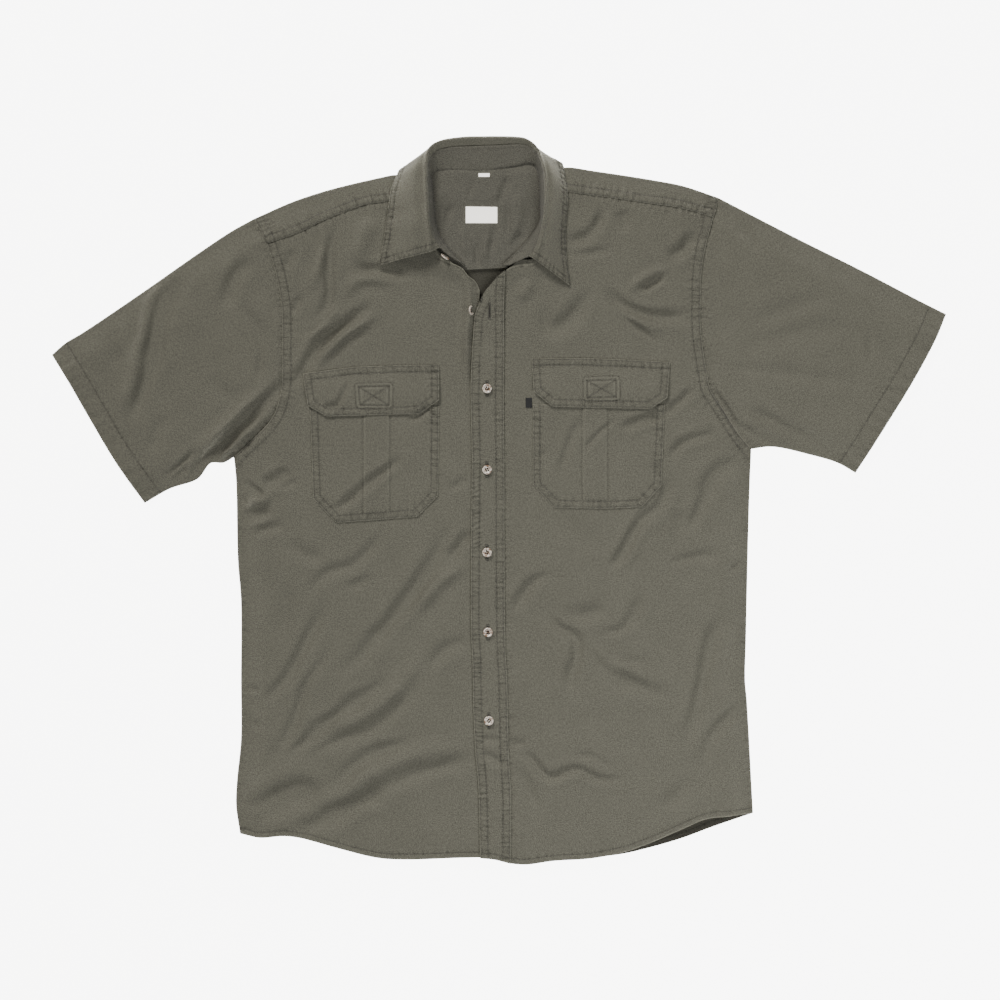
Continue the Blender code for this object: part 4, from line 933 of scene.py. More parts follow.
def stitching(name, lines, finish_name="thread", width=0.75):
    """Rows of stitches lying in their grooves, as one piece."""
    pitch, length = sizes().stitch_pitch / MM, sizes().stitch_length / MM
    frames = [stitch_frames(line, pitch, 50 + k) for k, line in enumerate(lines)]
    places = np.vstack([f[0] for f in frames])
    axes = np.vstack([f[1] for f in frames])
    scales = np.tile([length, width, 0.42], (len(places), 1))
    return repeated(name, stitch_shape(), places, axes, scales, finish(finish_name))


def row_of(line, distance, top, ends=1.5):
    """A stitch row: a line moved sideways onto a surface."""
    line = shifted(resample(line, max(int(run_of(line)[-1] / 2.0), 4)), distance)[:, :2]
    run = run_of(line)[-1]
    line = at(line, np.linspace(ends, run - ends, max(int(run / 1.5), 4)))
    return np.column_stack([line, top(line) + 0.10])


# ---------------------------------------------------------------- panels of the shirt

ARM = {"right": chain((ARM_YOKE_RIGHT, ARM_FRONT), (ARM_FRONT_RIGHT, 130)),
       "left": chain((ARM_YOKE_LEFT, ARM_FRONT), (ARM_FRONT_LEFT, 130))}
BODY_ARM = {side: shifted(ARM[side], SIGN[side] * SEAM / 2) for side in SIGN}
PLACKET_SIDE = shifted(chain((PLACKET_RIGHT, 80), (PLACKET_RIGHT_LOW, 200)), SEAM)
PLACKET_SIDE_LEFT = chain((PLACKET_LEFT, 80), (PLACKET_LEFT_LOW, 200))
YOKE_SEAM = {"right": spline(YOKE_SEAM_RIGHT, 90), "left": spline(YOKE_SEAM_LEFT, 90)}
HEM = {"right": spline(HEM_RIGHT, 120), "left": spline(HEM_LEFT, 120)}
SIDE = {"right": spline(SIDE_RIGHT, 120), "left": spline(SIDE_LEFT, 120)}
OUTER_SIDE = {"right": spline(SIDE_RIGHT, 200)[1:], "left": spline(SIDE_LEFT, 200)[1:]}

FRONT_SEAMS = {
    side: [
        Seam(BODY_ARM[side][12:], ARM_ROWS, 10.6, 0.45, 0.34, 8.0, 7.6, seed),
        Seam(YOKE_SEAM[side], (), 0.0, 0.0, 0.34, 11.0, 7.8, seed + 10),
        Seam(SIDE[side], (), 0.0, 0.0, 0.30, 8.0, 8.5, seed + 20),
        Seam(HEM[side], (HEM_ROW,), 6.8, 0.45, 0.22, 5.0, 6.6, seed + 30)]
    for side, seed in (("right", 300), ("left", 400))}
FRONT_SEAMS["left"] += [
    Seam(PLACKET_SIDE, (), 0.0, 0.0, 0.34, 9.0, 6.4, 450),
    Seam(spline(NECK_LEFT, 60), (1.6,), 1.6, 0.2, 0.2, 4.0, 6.0, 460)]
FRONT_SEAMS["right"].append(
    Seam(chain((NECK_RIGHT, 50), (EDGE_RIGHT, 80)), (1.6,), 1.6, 0.2, 0.2, 4.0, 6.0, 360))


def turned_edge(xy):
    """The right front's turned-back edge, which stands up beside the placket and goes flat
    under it."""
    rise = fold_field(xy, TURNED_EDGE_FOLDS)
    order = np.argsort(PLACKET_SIDE_LEFT[:, 1])
    edge = np.interp(xy[:, 1], PLACKET_SIDE_LEFT[order, 1], PLACKET_SIDE_LEFT[order, 0])
    under = smooth((xy[:, 0] - edge + 1.0) / 4.0) * smooth((236 - xy[:, 1]) / 12.0)
    return rise * (1 - under)


def front_base(xy, side):
    """Upper face of a front away from its seams."""
    top = height(xy) + WALL
    if side == "left":
        top = top + (PLACKET_LIFT - 0.6) * (1 - smooth(nearest(xy, PLACKET_SIDE)[0] / 30.0))
    return top


def front_face(xy, side):
    """Upper face of a front, and the marks of its seams."""
    top = front_base(xy, side)
    if side == "right":
        top = top + turned_edge(xy)
    lift, marks = relief(xy, FRONT_SEAMS[side])
    lift -= 1.0 * np.exp(-(nearest(xy, YOKE_SEAM[side], 9.0)[0] / 1.7) ** 2)
    if side == "left":
        lift -= 0.6 * np.exp(-(nearest(xy, PLACKET_SIDE, 9.0)[0] / 1.7) ** 2)
    edge = nearest(xy, SIDE[side])[0]
    return rolled(edge, np.maximum(top + lift, LOWEST), LAYER + 0.1), marks


def on_grid(face, grid):
    """Heights and marks of a face at the points of a grid."""
    z, marks = face(grid.reshape(-1, 2))
    return z.reshape(grid.shape[:2]), marks.reshape(grid.shape[:2] + (4,))


def make_front(side):
    outer = np.vstack([BODY_ARM[side][ARM_FRONT:], OUTER_SIDE[side]])
    if side == "right":
        inner = chain((NECK_RIGHT, 50), (EDGE_RIGHT, 80), (EDGE_RIGHT_LOW, 200))
        inner[:, 1] += 6.0 * smooth((-50 - inner[:, 0]) / 12) * smooth((300 - inner[:, 1]) / 20)
    else:
        inner = np.vstack([spline(NECK_LEFT, 50)[:-1], shifted(PLACKET_SIDE, -LAP)])
        inner[:, 1] += 6.0 * smooth((inner[:, 0] - 10) / 14) * smooth((300 - inner[:, 1]) / 20)
    under_yoke = shifted(YOKE_SEAM[side], SIGN[side] * LAP)
    outer[0], inner[0] = under_yoke[0], under_yoke[-1]
    grid = coons(under_yoke, resample(HEM[side], 90), outer, inner)
    grid = respace(grid, NEAR_BAND, NEAR_NONE, 108)
    grid = turned(respace(turned(grid), NEAR_NONE, NEAR_HEM, 258))
    z, marks = on_grid(lambda xy: front_face(xy, side), grid)
    return cloth("front_%s_twill" % side, grid, z, marks, "front_" + side)


def back_seam_line():
    """The seam of yoke and back, from armhole to armhole."""
    start, end = (tuple(BODY_ARM[side][ARM_BACK]) for side in ("right", "left"))
    return spline([start] + BACK_SEAM + [end], 120)


def make_back():
    seam = back_seam_line() - np.array([0.0, SEAM / 2])
    # Under the neck opening the yoke rides up, and the back runs on below it
    seam[:, 1] += 4.5 * smooth((seam[:, 0] + 70) / 20) * smooth((40 - seam[:, 0]) / 20)
    right, left = (np.vstack([BODY_ARM[side][ARM_BACK:], OUTER_SIDE[side]])
                   for side in ("right", "left"))
    hem = spline(BACK_HEM, 120)
    grid = coons(seam, hem, right, left)
    grid = respace(grid, NEAR_BAND, NEAR_BAND, 70)
    grid = turned(respace(turned(grid), NEAR_ROWS, NEAR_HEM, 130))
    seams = [Seam(seam, (), 0.0, 0.0, 0.12, 6.0, 8.0, 501),
             Seam(hem, (HEM_ROW,), 6.6, 0.0, 0.12, 4.0, 6.5, 502)]
    lift, marks = relief(grid.reshape(-1, 2), seams)
    # It rests on its outer face, so that stays flat but for the rows of stitches
    z = np.clip(-lift, 0.0, 0.4).reshape(grid.shape[:2])
    mesh = grid_mesh(np.dstack([grid, z]), marks.reshape(grid.shape[:2] + (4,)))
    faces_up(mesh)
    mesh.flip_normals()
    # The back's inside is a darker copy of the cloth: painted shade for the opening under the
    # neck.
    return finish_piece("back_twill", mesh, finish("twill"), "back_panel",
                        sizes().shell, inside=finish("back_inside_painted_shade"))


def neck_raise(xy):
    """How far the yoke's back layer rides up in creases under the neck opening."""
    x, y = xy[:, 0], xy[:, 1]
    inside = (smooth((x + 84) / 24) * smooth((54 - x) / 24) * smooth((y - 250) / 8)
              * smooth((379 - y) / 12))
    rise = 2.5 + 0.4 * swell(xy, 17.0, 71) + 0.8 * fold_field(xy, YOKE_FOLDS)
    return np.clip(rise, 0.2, 5.0) * inside


def yoke_under(xy):
    """Outer face of the yoke's back layer, which faces the surface."""
    return yoke_lift(xy) + neck_raise(xy)


def yoke_inside(xy):
    return yoke_under(xy) + sizes().shell / MM


YOKE_STRIP_SEAMS = {
    side: [Seam(YOKE_SEAM[side], YOKE_ROWS, 9.8, 0.4, 0.34, 7.0, 7.4, seed),
           Seam(BODY_ARM[side][:16], ARM_ROWS, 10.6, 0.45, 0.3, 8.0, 7.6, seed + 5)]
    for side, seed in (("right", 600), ("left", 620))}


def yoke_face(xy, side, fold):
    """Upper face of the yoke's front strip, turned down at the shoulder."""
    lift, marks = relief(xy, YOKE_STRIP_SEAMS[side])
    edge = nearest(xy, fold)[0]
    return rolled(edge, height(xy) + WALL + lift, yoke_lift(xy) + LAYER), marks


def make_yoke():
    steps, neck_steps = 110, 60
    folds = {"right": spline(SHOULDER_RIGHT, steps), "left": spline(SHOULDER_LEFT, steps)}
    neck = spline(BACK_NECK, neck_steps)
    line = np.vstack([folds["right"], neck[1:], folds["left"][::-1][1:]])
    seam = resample(back_seam_line(), len(line) - 1) + np.array([0.0, SEAM / 2])
    sides = [np.vstack([BODY_ARM[side][:ARM_BACK], seam[end]])
             for side, end in (("right", 0), ("left", -1))]
    back = turned(respace(turned(coons(line, seam, *sides)), NEAR_FOLD, NEAR_NONE, 48))
    z = yoke_under(back.reshape(-1, 2)).reshape(back.shape[:2])
    edge = nearest(back.reshape(-1, 2), line)[0].reshape(back.shape[:2])
    over_fold = np.ones(len(line), dtype=bool)
    over_fold[steps + 1:steps + neck_steps] = False
    lift = yoke_lift(back.reshape(-1, 2)).reshape(back.shape[:2])
    z[:, over_fold] = rolled(edge, z, lift + LAYER)[:, over_fold]
    meshes = [grid_mesh(np.dstack([back, z]))]
    faces_up(meshes[0])
    meshes[0].flip_normals()
    for side in ("right", "left"):
        fold = folds[side]
        low = resample(shifted(YOKE_SEAM[side], SIGN[side] * SEAM), steps)
        low[0] = BODY_ARM[side][ARM_FRONT] + (0.0, SEAM)
        arm = BODY_ARM[side][:ARM_FRONT + 1].copy()
        arm[-1] = low[0]
        inner = np.linspace(fold[-1], low[-1], ARM_FRONT + 1)
        strip = turned(respace(turned(coons(fold, low, arm, inner)), NEAR_FOLD,
                               (0.0, 0.5, 1.3, 2.1, 3.6, 5.2, 6.8, 8.2, 9.0, 9.7, 10.8), 14))
        z, marks = on_grid(lambda xy, s=side, f=fold: yoke_face(xy, s, f), strip)
        z[0] = yoke_lift(strip[0]) + LAYER
        meshes.append(grid_mesh(np.dstack([strip, z]), marks))
        faces_up(meshes[-1])
    bm = bmesh.new()
    for mesh in meshes:
        bm.from_mesh(mesh)
    bmesh.ops.remove_doubles(bm, verts=bm.verts[:], dist=0.00002)
    mesh = bpy.data.meshes.new("yoke")
    bm.to_mesh(mesh)
    bm.free()
    return finish_piece("yoke_twill", mesh, finish("twill"), "yoke", sizes().shell,
                        inside=finish("inside"))


SLEEVES = {
    "right": (shifted(ARM["right"], -SEAM / 2), SLEEVE_TOP_RIGHT, CUFF_RIGHT, UNDERARM_RIGHT, -30),
    "left": (shifted(ARM["left"], SEAM / 2), SLEEVE_TOP_LEFT, CUFF_LEFT, UNDERARM_LEFT, 30)}
SLEEVE_SEAMS = {
    side: [Seam(SLEEVES[side][0], (), 0.0, 0.0, 0.42, 12.0, 8.0, seed),
           Seam(spline(SLEEVES[side][2], 90), (CUFF_ROW,), 22.0, 0.45, 0.26, 6.0, 7.0, seed + 10),
           Seam(spline(SLEEVES[side][2], 90), (), 0.0, 0.0, 0.30, 16.0, 13.0, seed + 20)]
    for side, seed in (("right", 700), ("left", 730))}


def from_folds(xy, side):
    """Distance to the nearer of a sleeve's two folded edges."""
    return np.minimum(*(nearest(xy, spline(SLEEVES[side][k], 60))[0] for k in (1, 3)))


def sleeve_face(xy, side):
    """Upper face of a sleeve, turned down at its two folded edges."""
    lift, marks = relief(xy, SLEEVE_SEAMS[side])
    lift -= 1.1 * np.exp(-(nearest(xy, SLEEVES[side][0], 9.0)[0] / 2.0) ** 2)
    return rolled(from_folds(xy, side), np.maximum(height(xy) + WALL + lift, LOWEST), LAYER), marks


def make_sleeve(side):
    arm, top, cuff, underarm, grain = SLEEVES[side]
    lapped = shifted(arm, SIGN[side] * LAP)
    flat, over = (turned(respace(coons(spline(top, 80), spline(underarm, 80), line,
                                       spline(cuff, len(arm) - 1)),
                                 (0.0, 0.6, 1.5, 3.0, 5.0), NEAR_DEEP_HEM, 92))
                  for line in (arm, lapped))
    over[:, 0], over[:, -1] = flat[:, 0], flat[:, -1]
    upper = respace(over, NEAR_FOLD, NEAR_FOLD, 92)
    z, marks = on_grid(lambda xy: sleeve_face(xy, side), upper)
    z[:, 0] = z[:, -1] = LAYER
    lower = respace(flat, NEAR_FOLD, NEAR_FOLD, 30)
    edge = from_folds(lower.reshape(-1, 2), side)
    low_z = rolled(edge, np.zeros(len(edge)), LAYER).reshape(lower.shape[:2])
    low_z[:, 0] = low_z[:, -1] = LAYER
    loop = np.concatenate([upper, lower[:, ::-1][:, 1:]], axis=1)
    z = np.concatenate([z, low_z[:, ::-1][:, 1:]], axis=1)
    marks = np.concatenate([marks, np.zeros(low_z.shape + (4,))[:, 1:]], axis=1)
    turn = math.radians(grain)
    weave = np.dstack([loop[:, :, 0] * math.cos(turn) + loop[:, :, 1] * math.sin(turn),
                       loop[:, :, 1] * math.cos(turn) - loop[:, :, 0] * math.sin(turn)])
    mesh = grid_mesh(np.dstack([loop, z]), marks, weave)
    faces_up(mesh, face=(loop.shape[0] // 2) * (loop.shape[1] - 1) + upper.shape[1] // 2)
    bm = bmesh.new()
    bm.from_mesh(mesh)
    bmesh.ops.remove_doubles(bm, verts=bm.verts[:], dist=0.00001)
    bm.to_mesh(mesh)
    bm.free()
    return finish_piece("sleeve_%s_twill" % side, mesh, finish("twill"), "sleeve_" + side,
                        sizes().shell, inside=finish("inside"))


PLACKET_SEAMS = [
    Seam(PLACKET_SIDE_LEFT, PLACKET_ROWS, 10.0, 0.12, 0.40, 2.2, 5.4, 801),
    Seam(shifted(PLACKET_SIDE, -SEAM), PLACKET_ROWS, 10.0, 0.12, 0.40, 2.2, 5.4, 841),
    Seam(spline(PLACKET_FOOT, 20), (HEM_ROW,), 6.8, 0.35, 0.15, 4.0, 6.0, 861)]


def placket_face(xy):
    top = height(xy) + PLACKET_LIFT + HEAD_LIFT * smooth((xy[:, 1] - 175) / 40) + PLACKET_WALL
    lift, marks = relief(xy, PLACKET_SEAMS)
    return top + lift + 0.10 * swell(xy, 4.5, 77), marks


def make_placket():
    right = chain((PLACKET_RIGHT, 80), (PLACKET_RIGHT_LOW, 200))
    left = PLACKET_SIDE_LEFT.copy()
    head, foot = spline(PLACKET_HEAD, 24), spline(PLACKET_FOOT, 24)
    right[0] = head[-1]
    near = (0.0, 0.6, 1.4, 2.2, 3.5, 4.9, 6.3, 7.7, 8.5, 9.2, 9.9, 11.0)
    grid = respace(coons(head, foot, left, right), near, near, 8)
    grid = turned(respace(turned(grid), NEAR_NONE, NEAR_HEM, 470))
    z, marks = on_grid(placket_face, grid)
    return cloth("placket_twill", grid, z, marks, "placket")


def sides_of(outline, top_points):
    """An outline's top, right, bottom and left lines, each drawn from its upper or left end."""
    top, rest = outline[:top_points], outline[top_points:]
    return top, [top[-1], rest[0]], rest[::-1], [top[0], rest[-1]]


def offset_path(points, distance, closed=False):
    """An outline moved inward with its corners kept: a positive distance goes to its right."""
    points = np.array(points, dtype=float)
    ends = np.vstack([points, points[:1]]) if closed else points
    ahead = np.diff(ends, axis=0)
    ahead /= np.linalg.norm(ahead, axis=1)[:, None]
    across = np.column_stack([ahead[:, 1], -ahead[:, 0]])
    moved = []
    for k in range(len(points)):
        before, after = across[k - 1], across[k % len(across)]
        if not closed and k == 0:
            before = across[0]
        if not closed and k == len(points) - 1:
            before = after = across[-1]
        corner = before + after
        moved.append(points[k] + corner * distance / max(1e-6, 1.0 + before @ after))
    return np.array(moved)


POCKETS = {"right": (POCKET_RIGHT, FLAP_RIGHT, PLEAT_RIGHT, FLAP_SEAT_RIGHT, PATCH_RIGHT),
           "left": (POCKET_LEFT, FLAP_LEFT, PLEAT_LEFT, FLAP_SEAT_LEFT, PATCH_LEFT)}


def pocket_edge(side):
    """Right side, bottom and left side of a pocket as one line, clockwise."""
    outline = POCKETS[side][0]
    return np.array(outline[1:] + outline[:1], dtype=float)


def flap_edge(side):
    outline = POCKETS[side][1]
    return np.array(outline[3:] + outline[:1], dtype=float)


def pocket_face(xy, side):
    """Outer face of a pocket: it follows the front, and its middle pleat stands up."""
    low, high = POCKETS[side][2]
    line = resample(pocket_edge(side), 160)
    top = np.array(POCKETS[side][0][:2], dtype=float)
    seams = [Seam(line, POCKET_ROWS, 8.8, 0.25, 0.34, 4.0, 8.6, 900 + len(side)),
             Seam(resample(top, 60), (), 24.0, 0.0, 0.1, 5.0, 9.0, 930)]
    lift, marks = relief(xy, seams)
    puff = 0.5 * smooth((nearest(xy, line)[0] - 8.0) / 30.0)
    x = xy[:, 0]
    pleat = smooth((x - low) / 1.2 + 0.5) * smooth((high - x) / 1.2 + 0.5)
    beside = np.exp(-((x - low + 1.6) / 1.2) ** 2) + np.exp(-((x - high - 1.6) / 1.2) ** 2)
    inner = smooth((xy[:, 1] - np.min(pocket_edge(side)[:, 1]) - 9.0) / 3.0)
    base = front_base(xy, side) + 0.2 + POCKET_WALL + puff
    face = base + lift + (PLEAT_RISE * pleat - 0.25 * beside) * inner
    # Painted highlight along the pleat's folded edges and painted shade in the grooves beside it.
    pleat_painted_highlight = np.exp(-((x - low - 0.4) / 0.8) ** 2) + np.exp(-((x - high + 0.4) / 0.8) ** 2)
    marks[:, 0] += (0.5 * pleat_painted_highlight - 0.5 * beside) * inner
    return face, marks


def flap_face(xy, side):
    """Outer face of a flap: it hangs from its top seam and rests on the pocket."""
    seat, patch = POCKETS[side][3], np.array(POCKETS[side][4])
    fall = smooth((154 - xy[:, 1]) / (154 - seat))
    gap = 0.2 + (POCKET_WALL + PLEAT_RISE + 0.7) * fall
    line = resample(flap_edge(side), 160)
    top = resample(np.array(POCKETS[side][1][:4], dtype=float), 80)
    seams = [Seam(line, POCKET_ROWS, 8.8, 0.22, 0.36, 4.0, 8.2, 950 + len(side)),
             Seam(top, (1.2, 7.6), 8.2, 0.25, 0.26, 4.0, 7.4, 980 + len(side))]
    lift, marks = relief(xy, seams)
    frame_line = resample(np.vstack([patch, patch[:1]]), 80)
    d = nearest(xy, frame_line, 6.0)[0]
    lift -= 0.55 * np.exp(-(d / 1.0) ** 2) - 0.35 * np.exp(-((d - 2.6) / 1.4) ** 2)
    # Painted shade darkens the stitched grooves of the box and its cross and a line just outside
    # the box; painted light brightens the cloth beside the box's grooves.
    marks[:, 0] -= 0.9 * np.exp(-(d / 0.9) ** 2) - 0.6 * np.exp(-((d - 2.2) / 0.9) ** 2)
    outside = np.any((xy < patch.min(axis=0)) | (xy > patch.max(axis=0)), axis=1)
    marks[:, 0] -= outside * 0.8 * np.exp(-((d - 4.4) / 0.8) ** 2)
    for pair in ((0, 2), (1, 3)):
        d = nearest(xy, resample(patch[list(pair)], 20), 4.0)[0]
        lift -= 0.30 * np.exp(-(d / 0.8) ** 2)
        marks[:, 0] -= 0.8 * np.exp(-(d / 0.8) ** 2)
    puff = 0.5 * smooth((np.minimum(nearest(xy, line)[0], nearest(xy, top)[0]) - 8.0) / 12.0)
    return front_base(xy, side) + gap + FLAP_WALL + puff + lift, marks


def outline_grid(outline, top_points, near_top, count_u, count_v):
    top, right, bottom, left = sides_of(outline, top_points)
    grid = coons(*(resample(np.array(line, dtype=float), 80) for line in (top, bottom)),
                 *(resample(np.array(line, dtype=float), 80) for line in (left, right)))
    grid = respace(grid, NEAR_ROWS, NEAR_ROWS, count_u)
    return turned(respace(turned(grid), near_top, NEAR_ROWS, count_v))


def make_pocket(side):
    grid = outline_grid(POCKETS[side][0], 2, NEAR_NONE, 92, 76)
    z, marks = on_grid(lambda xy: pocket_face(xy, side), grid)
    return cloth("pocket_%s_twill" % side, grid, z, marks, "pocket_" + side)


def make_flap(side):
    grid = outline_grid(POCKETS[side][1], 4, NEAR_ROWS, 98, 26)
    z, marks = on_grid(lambda xy: flap_face(xy, side), grid)
    return cloth("flap_%s_twill" % side, grid, z, marks, "flap_" + side)


# ---------------------------------------------------------------- collar

def smoother(rows, factor):
    """More rows between the given ones, on smooth curves through them."""
    rows = np.array(rows)
    padded = np.concatenate([[2 * rows[0] - rows[1]], rows, [2 * rows[-1] - rows[-2]]])
    out = []
    for k in range(1, len(padded) - 2):
        a, b, c, d = padded[k - 1:k + 3]
        for t in np.arange(factor) / factor:
            out.append(0.5 * (2 * b + (c - a) * t + (2 * a - 5 * b + 4 * c - d) * t * t
                              + (3 * b - a - 3 * c + d) * t ** 3))
    return np.array(out + [rows[-1]])


def stand_sections():
    table = spline(STAND, STAND_STEPS)
    rows = []
    for x0, y0, z0, x1, y1, z1 in table:
        low, top = np.array([x0, y0, z0]), np.array([x1, y1, z1])
        rows.append([low + (top - low) * t for t in np.linspace(0.0, LEAF_SEAM + 0.012, 4)])
    return rows, table


def leaf_sections(stand_table):
    """The leaf starts at its seam on the stand, rolls over and falls to its edge."""
    table = spline(LEAF, LEAF_STEPS)
    seam_low = resample(stand_table[:, 0:3], 200)
    seam_top = resample(stand_table[:, 3:6], 200)
    table[:, 5] = np.maximum(table[:, 5], LEAF_FLOOR)
    over_front = table[:, 6] < 0.1
    rest = height(table[:, 3:5]) + WALL + 1.0
    table[over_front, 5] = np.maximum(table, rest[:, None])[over_front, 5]
    rows = []
    for x0, y0, z0, x1, y1, z1, under in table:
        roll, edge = np.array([x0, y0, z0]), np.array([x1, y1, z1])
        k = int(np.argmin(np.linalg.norm(seam_top[:, :2] - roll[:2], axis=1)))
        seam = seam_low[k] + (seam_top[k] - seam_low[k]) * (LEAF_SEAM + 0.03)
        fall = edge - roll
        flat = np.array([fall[0], fall[1], 0.0])
        flat /= np.linalg.norm(flat)
        over = [roll + fall * 0.10 + (0, 0, 0.2), roll + fall * 0.34 + (0, 0, 2.6),
                roll + fall * 0.67 + (0, 0, 2.0)]
        out = -flat * 1.6
        below = [roll + out + (0, 0, -(z0 - z1) * 0.45),
                 np.array([roll[0], roll[1], z1]) + flat * 5.0,
                 np.array([roll[0] + fall[0] * 0.55, roll[1] + fall[1] * 0.55, z1])]
        bend = [(1 - under) * o + under * b for o, b in zip(over, below)]
        rows.append([seam, roll + (seam - roll) * 0.25 + (0, 0, 0.4), roll + (0, 0, 0.5)]
                    + bend + [edge])
    return rows


def normals_of(grid):
    across = np.gradient(grid, axis=1)
    down = np.gradient(grid, axis=0)
    normal = np.cross(across, down)
    return normal / np.maximum(np.linalg.norm(normal, axis=2), 1e-9)[:, :, None]


def fine_leaf():
    """The leaf's middle surface in fine rows, its directions out, and its distances to the
    outer edge and to the two ends."""
    rows = np.array([at(np.array(row), np.linspace(0, 1, 61) * run_of(np.array(row), 3)[-1], 3)
                     for row in (smoother(r, 6) for r in leaf_sections(stand_sections()[1]))])
    grid = smoother(rows, 6)
    grid = respace(grid, NEAR_NONE, NEAR_ROWS, 42)
    grid = turned(respace(turned(grid), NEAR_ROWS, NEAR_ROWS, 250))
    grid[:, :, 2] = np.maximum(grid[:, :, 2], LEAF_FLOOR)
    normal = normals_of(grid)
    if normal[10, -12, 2] < 0:
        normal = -normal
    outer = np.array([run_of(row, 3)[-1] - run_of(row, 3) for row in grid])
    first = np.array([run_of(line, 3) for line in turned(grid)]).T
    last = first[-1][None, :] - first
    return grid, normal, outer, first, last


def make_leaf():
    grid, normal, outer, first, last = fine_leaf()
    shape = outer.shape
    along = run_of(grid[:, -1], 3)[:, None] + np.zeros(shape)
    edge = Seam(None, LEAF_ROWS, 8.2, 0.2, 0.52, 4.0, 6.2, 1001)
    ends = Seam(None, LEAF_ROWS, 8.2, 0.2, 0.48, 4.0, 6.2, 1041)
    lift, marks = sewn(outer.ravel(), along.ravel(), edge)
    for d in (first, last):
        dz, more = sewn(d.ravel(), outer.ravel(), ends)
        lift = lift + dz
        join_marks(marks, more)
    lift, marks = lift.reshape(shape), marks.reshape(shape + (4,))
    lift += 0.35 * swell(np.column_stack([along.ravel(), outer.ravel()]), 22.0, 78).reshape(shape)
    lift *= smooth((outer.max(axis=1)[:, None] - outer) / 12.0)
    # Folded under the neck it lies flat
    flat = smooth((grid[:, :, 2] - 1.2) / 2.0)
    weave = np.dstack([along, outer])
    shaped = grid + normal * (lift * flat)[:, :, None]
    shaped[:, :, 2] = np.maximum(shaped[:, :, 2], LEAF_FLOOR)
    mesh = grid_mesh(shaped, marks, weave)
    faces_up(mesh, face=12 * (shape[1] - 1) + shape[1] - 14)
    return finish_piece("collar_leaf_twill", mesh, finish("twill"), "collar_leaf",
                        STAND_WALL * MM, offset=0.0)


def fine_stand():
    """The stand's middle surface in fine rows."""
    return smoother(turned(smoother(turned(np.array(stand_sections()[0])), 5)), 6)


def make_stand():
    grid = fine_stand()
    along = run_of(grid[:, 0], 3)[:, None] + np.zeros(grid.shape[:2])
    up = np.array([run_of(row, 3) for row in grid])
    wave = 0.22 * ripple(along.ravel(), up.ravel(), 8.0, 1101).reshape(up.shape)
    pull = np.exp(-((up - 2.0) / 1.0) ** 2)
    shaped = grid + normals_of(grid) * (wave - 0.2 * pull)[:, :, None]
    # Painted shade: the stand's stitch groove is darkened in colour.
    marks = np.dstack([-0.5 * pull, along, up, 0.6 * np.exp(-((up - 2.0) / 5.0) ** 2)])
    mesh = grid_mesh(shaped, marks, np.dstack([along, up]))
    return finish_piece("collar_stand_twill", mesh, finish("inside"), "collar_stand",
                        STAND_WALL * MM, offset=0.0)


# ---------------------------------------------------------------- small pieces

def turned_to(facing):
    return Vector((0, 0, 1)).rotation_difference(Vector(facing).normalized()).to_matrix().to_4x4()


def button_mesh(name, place, facing, spin):
    """A turned four-hole button: rounded rim, shallow dish, and holes drilled through."""
    radius, thick = sizes().button_diameter / MM / 2, 2.2
    profile = [(0, 0.05), (0.55, 0), (0.82, 0.04), (0.95, 0.25), (1.0, 0.55), (0.975, 0.85),
               (0.90, 1.0), (0.80, 1.0), (0.70, 0.88), (0.60, 0.66), (0.50, 0.56), (0, 0.53)]
    bm = bmesh.new()
    verts = [bm.verts.new((r * radius, 0, h * thick)) for r, h in profile]
    edges = [bm.edges.new(pair) for pair in zip(verts[:-1], verts[1:])]
    bmesh.ops.spin(bm, geom=verts + edges, cent=(0, 0, 0), axis=(0, 0, 1), angle=math.tau,
                   steps=40, use_merge=True)
    bmesh.ops.remove_doubles(bm, verts=bm.verts[:], dist=1e-4)
    bmesh.ops.recalc_face_normals(bm, faces=bm.faces[:])
    body = bpy.data.meshes.new(name + "_body")
    bm.to_mesh(body)
    bm.free()
    drill = bmesh.new()
    for k in range(4):
        turn = math.radians(45 + 90 * k)
        bmesh.ops.create_cone(drill, cap_ends=True, segments=14, radius1=0.9, radius2=0.9,
                              depth=6.0, matrix=Matrix.Translation(
                                  (1.6 * math.cos(turn), 1.6 * math.sin(turn), 1.0)))
    holes = bpy.data.meshes.new(name + "_holes")
    drill.to_mesh(holes)
    drill.free()
    blank = bpy.data.objects.new(name + "_blank", body)
    bits = bpy.data.objects.new(name + "_bits", holes)
    for obj in (blank, bits):
        collection().objects.link(obj)
    cut = blank.modifiers.new("holes", "BOOLEAN")
    cut.object, cut.operation, cut.solver = bits, "DIFFERENCE", "EXACT"
    bpy.context.view_layer.update()
    mesh = bpy.data.meshes.new_from_object(
        blank.evaluated_get(bpy.context.evaluated_depsgraph_get()))
    for obj in (blank, bits):
        bpy.data.objects.remove(obj, do_unlink=True)
    mesh.transform(Matrix.Scale(MM, 4) @ Matrix.Translation(place) @ turned_to(facing)
                   @ Matrix.Rotation(spin, 4, "Z"))
    return mesh


def button_thread(place, facing, spin):
    """Thread over a button's dish, from hole to hole, as rows of points."""
    matrix = Matrix.Translation(place) @ turned_to(facing) @ Matrix.Rotation(spin, 4, "Z")
    strands = []
    for side in (-1, 1):
        for step in (-0.28, 0.0, 0.28):
            line = [(-1.35, side * 1.13 + step, 0.9), (-0.9, side * 1.13 + step, 1.45),
                    (0.0, side * 1.13 + step, 1.62), (0.9, side * 1.13 + step, 1.45),
                    (1.35, side * 1.13 + step, 0.9)]
            strands.append(np.array([matrix @ Vector(p) for p in line]))
    return strands


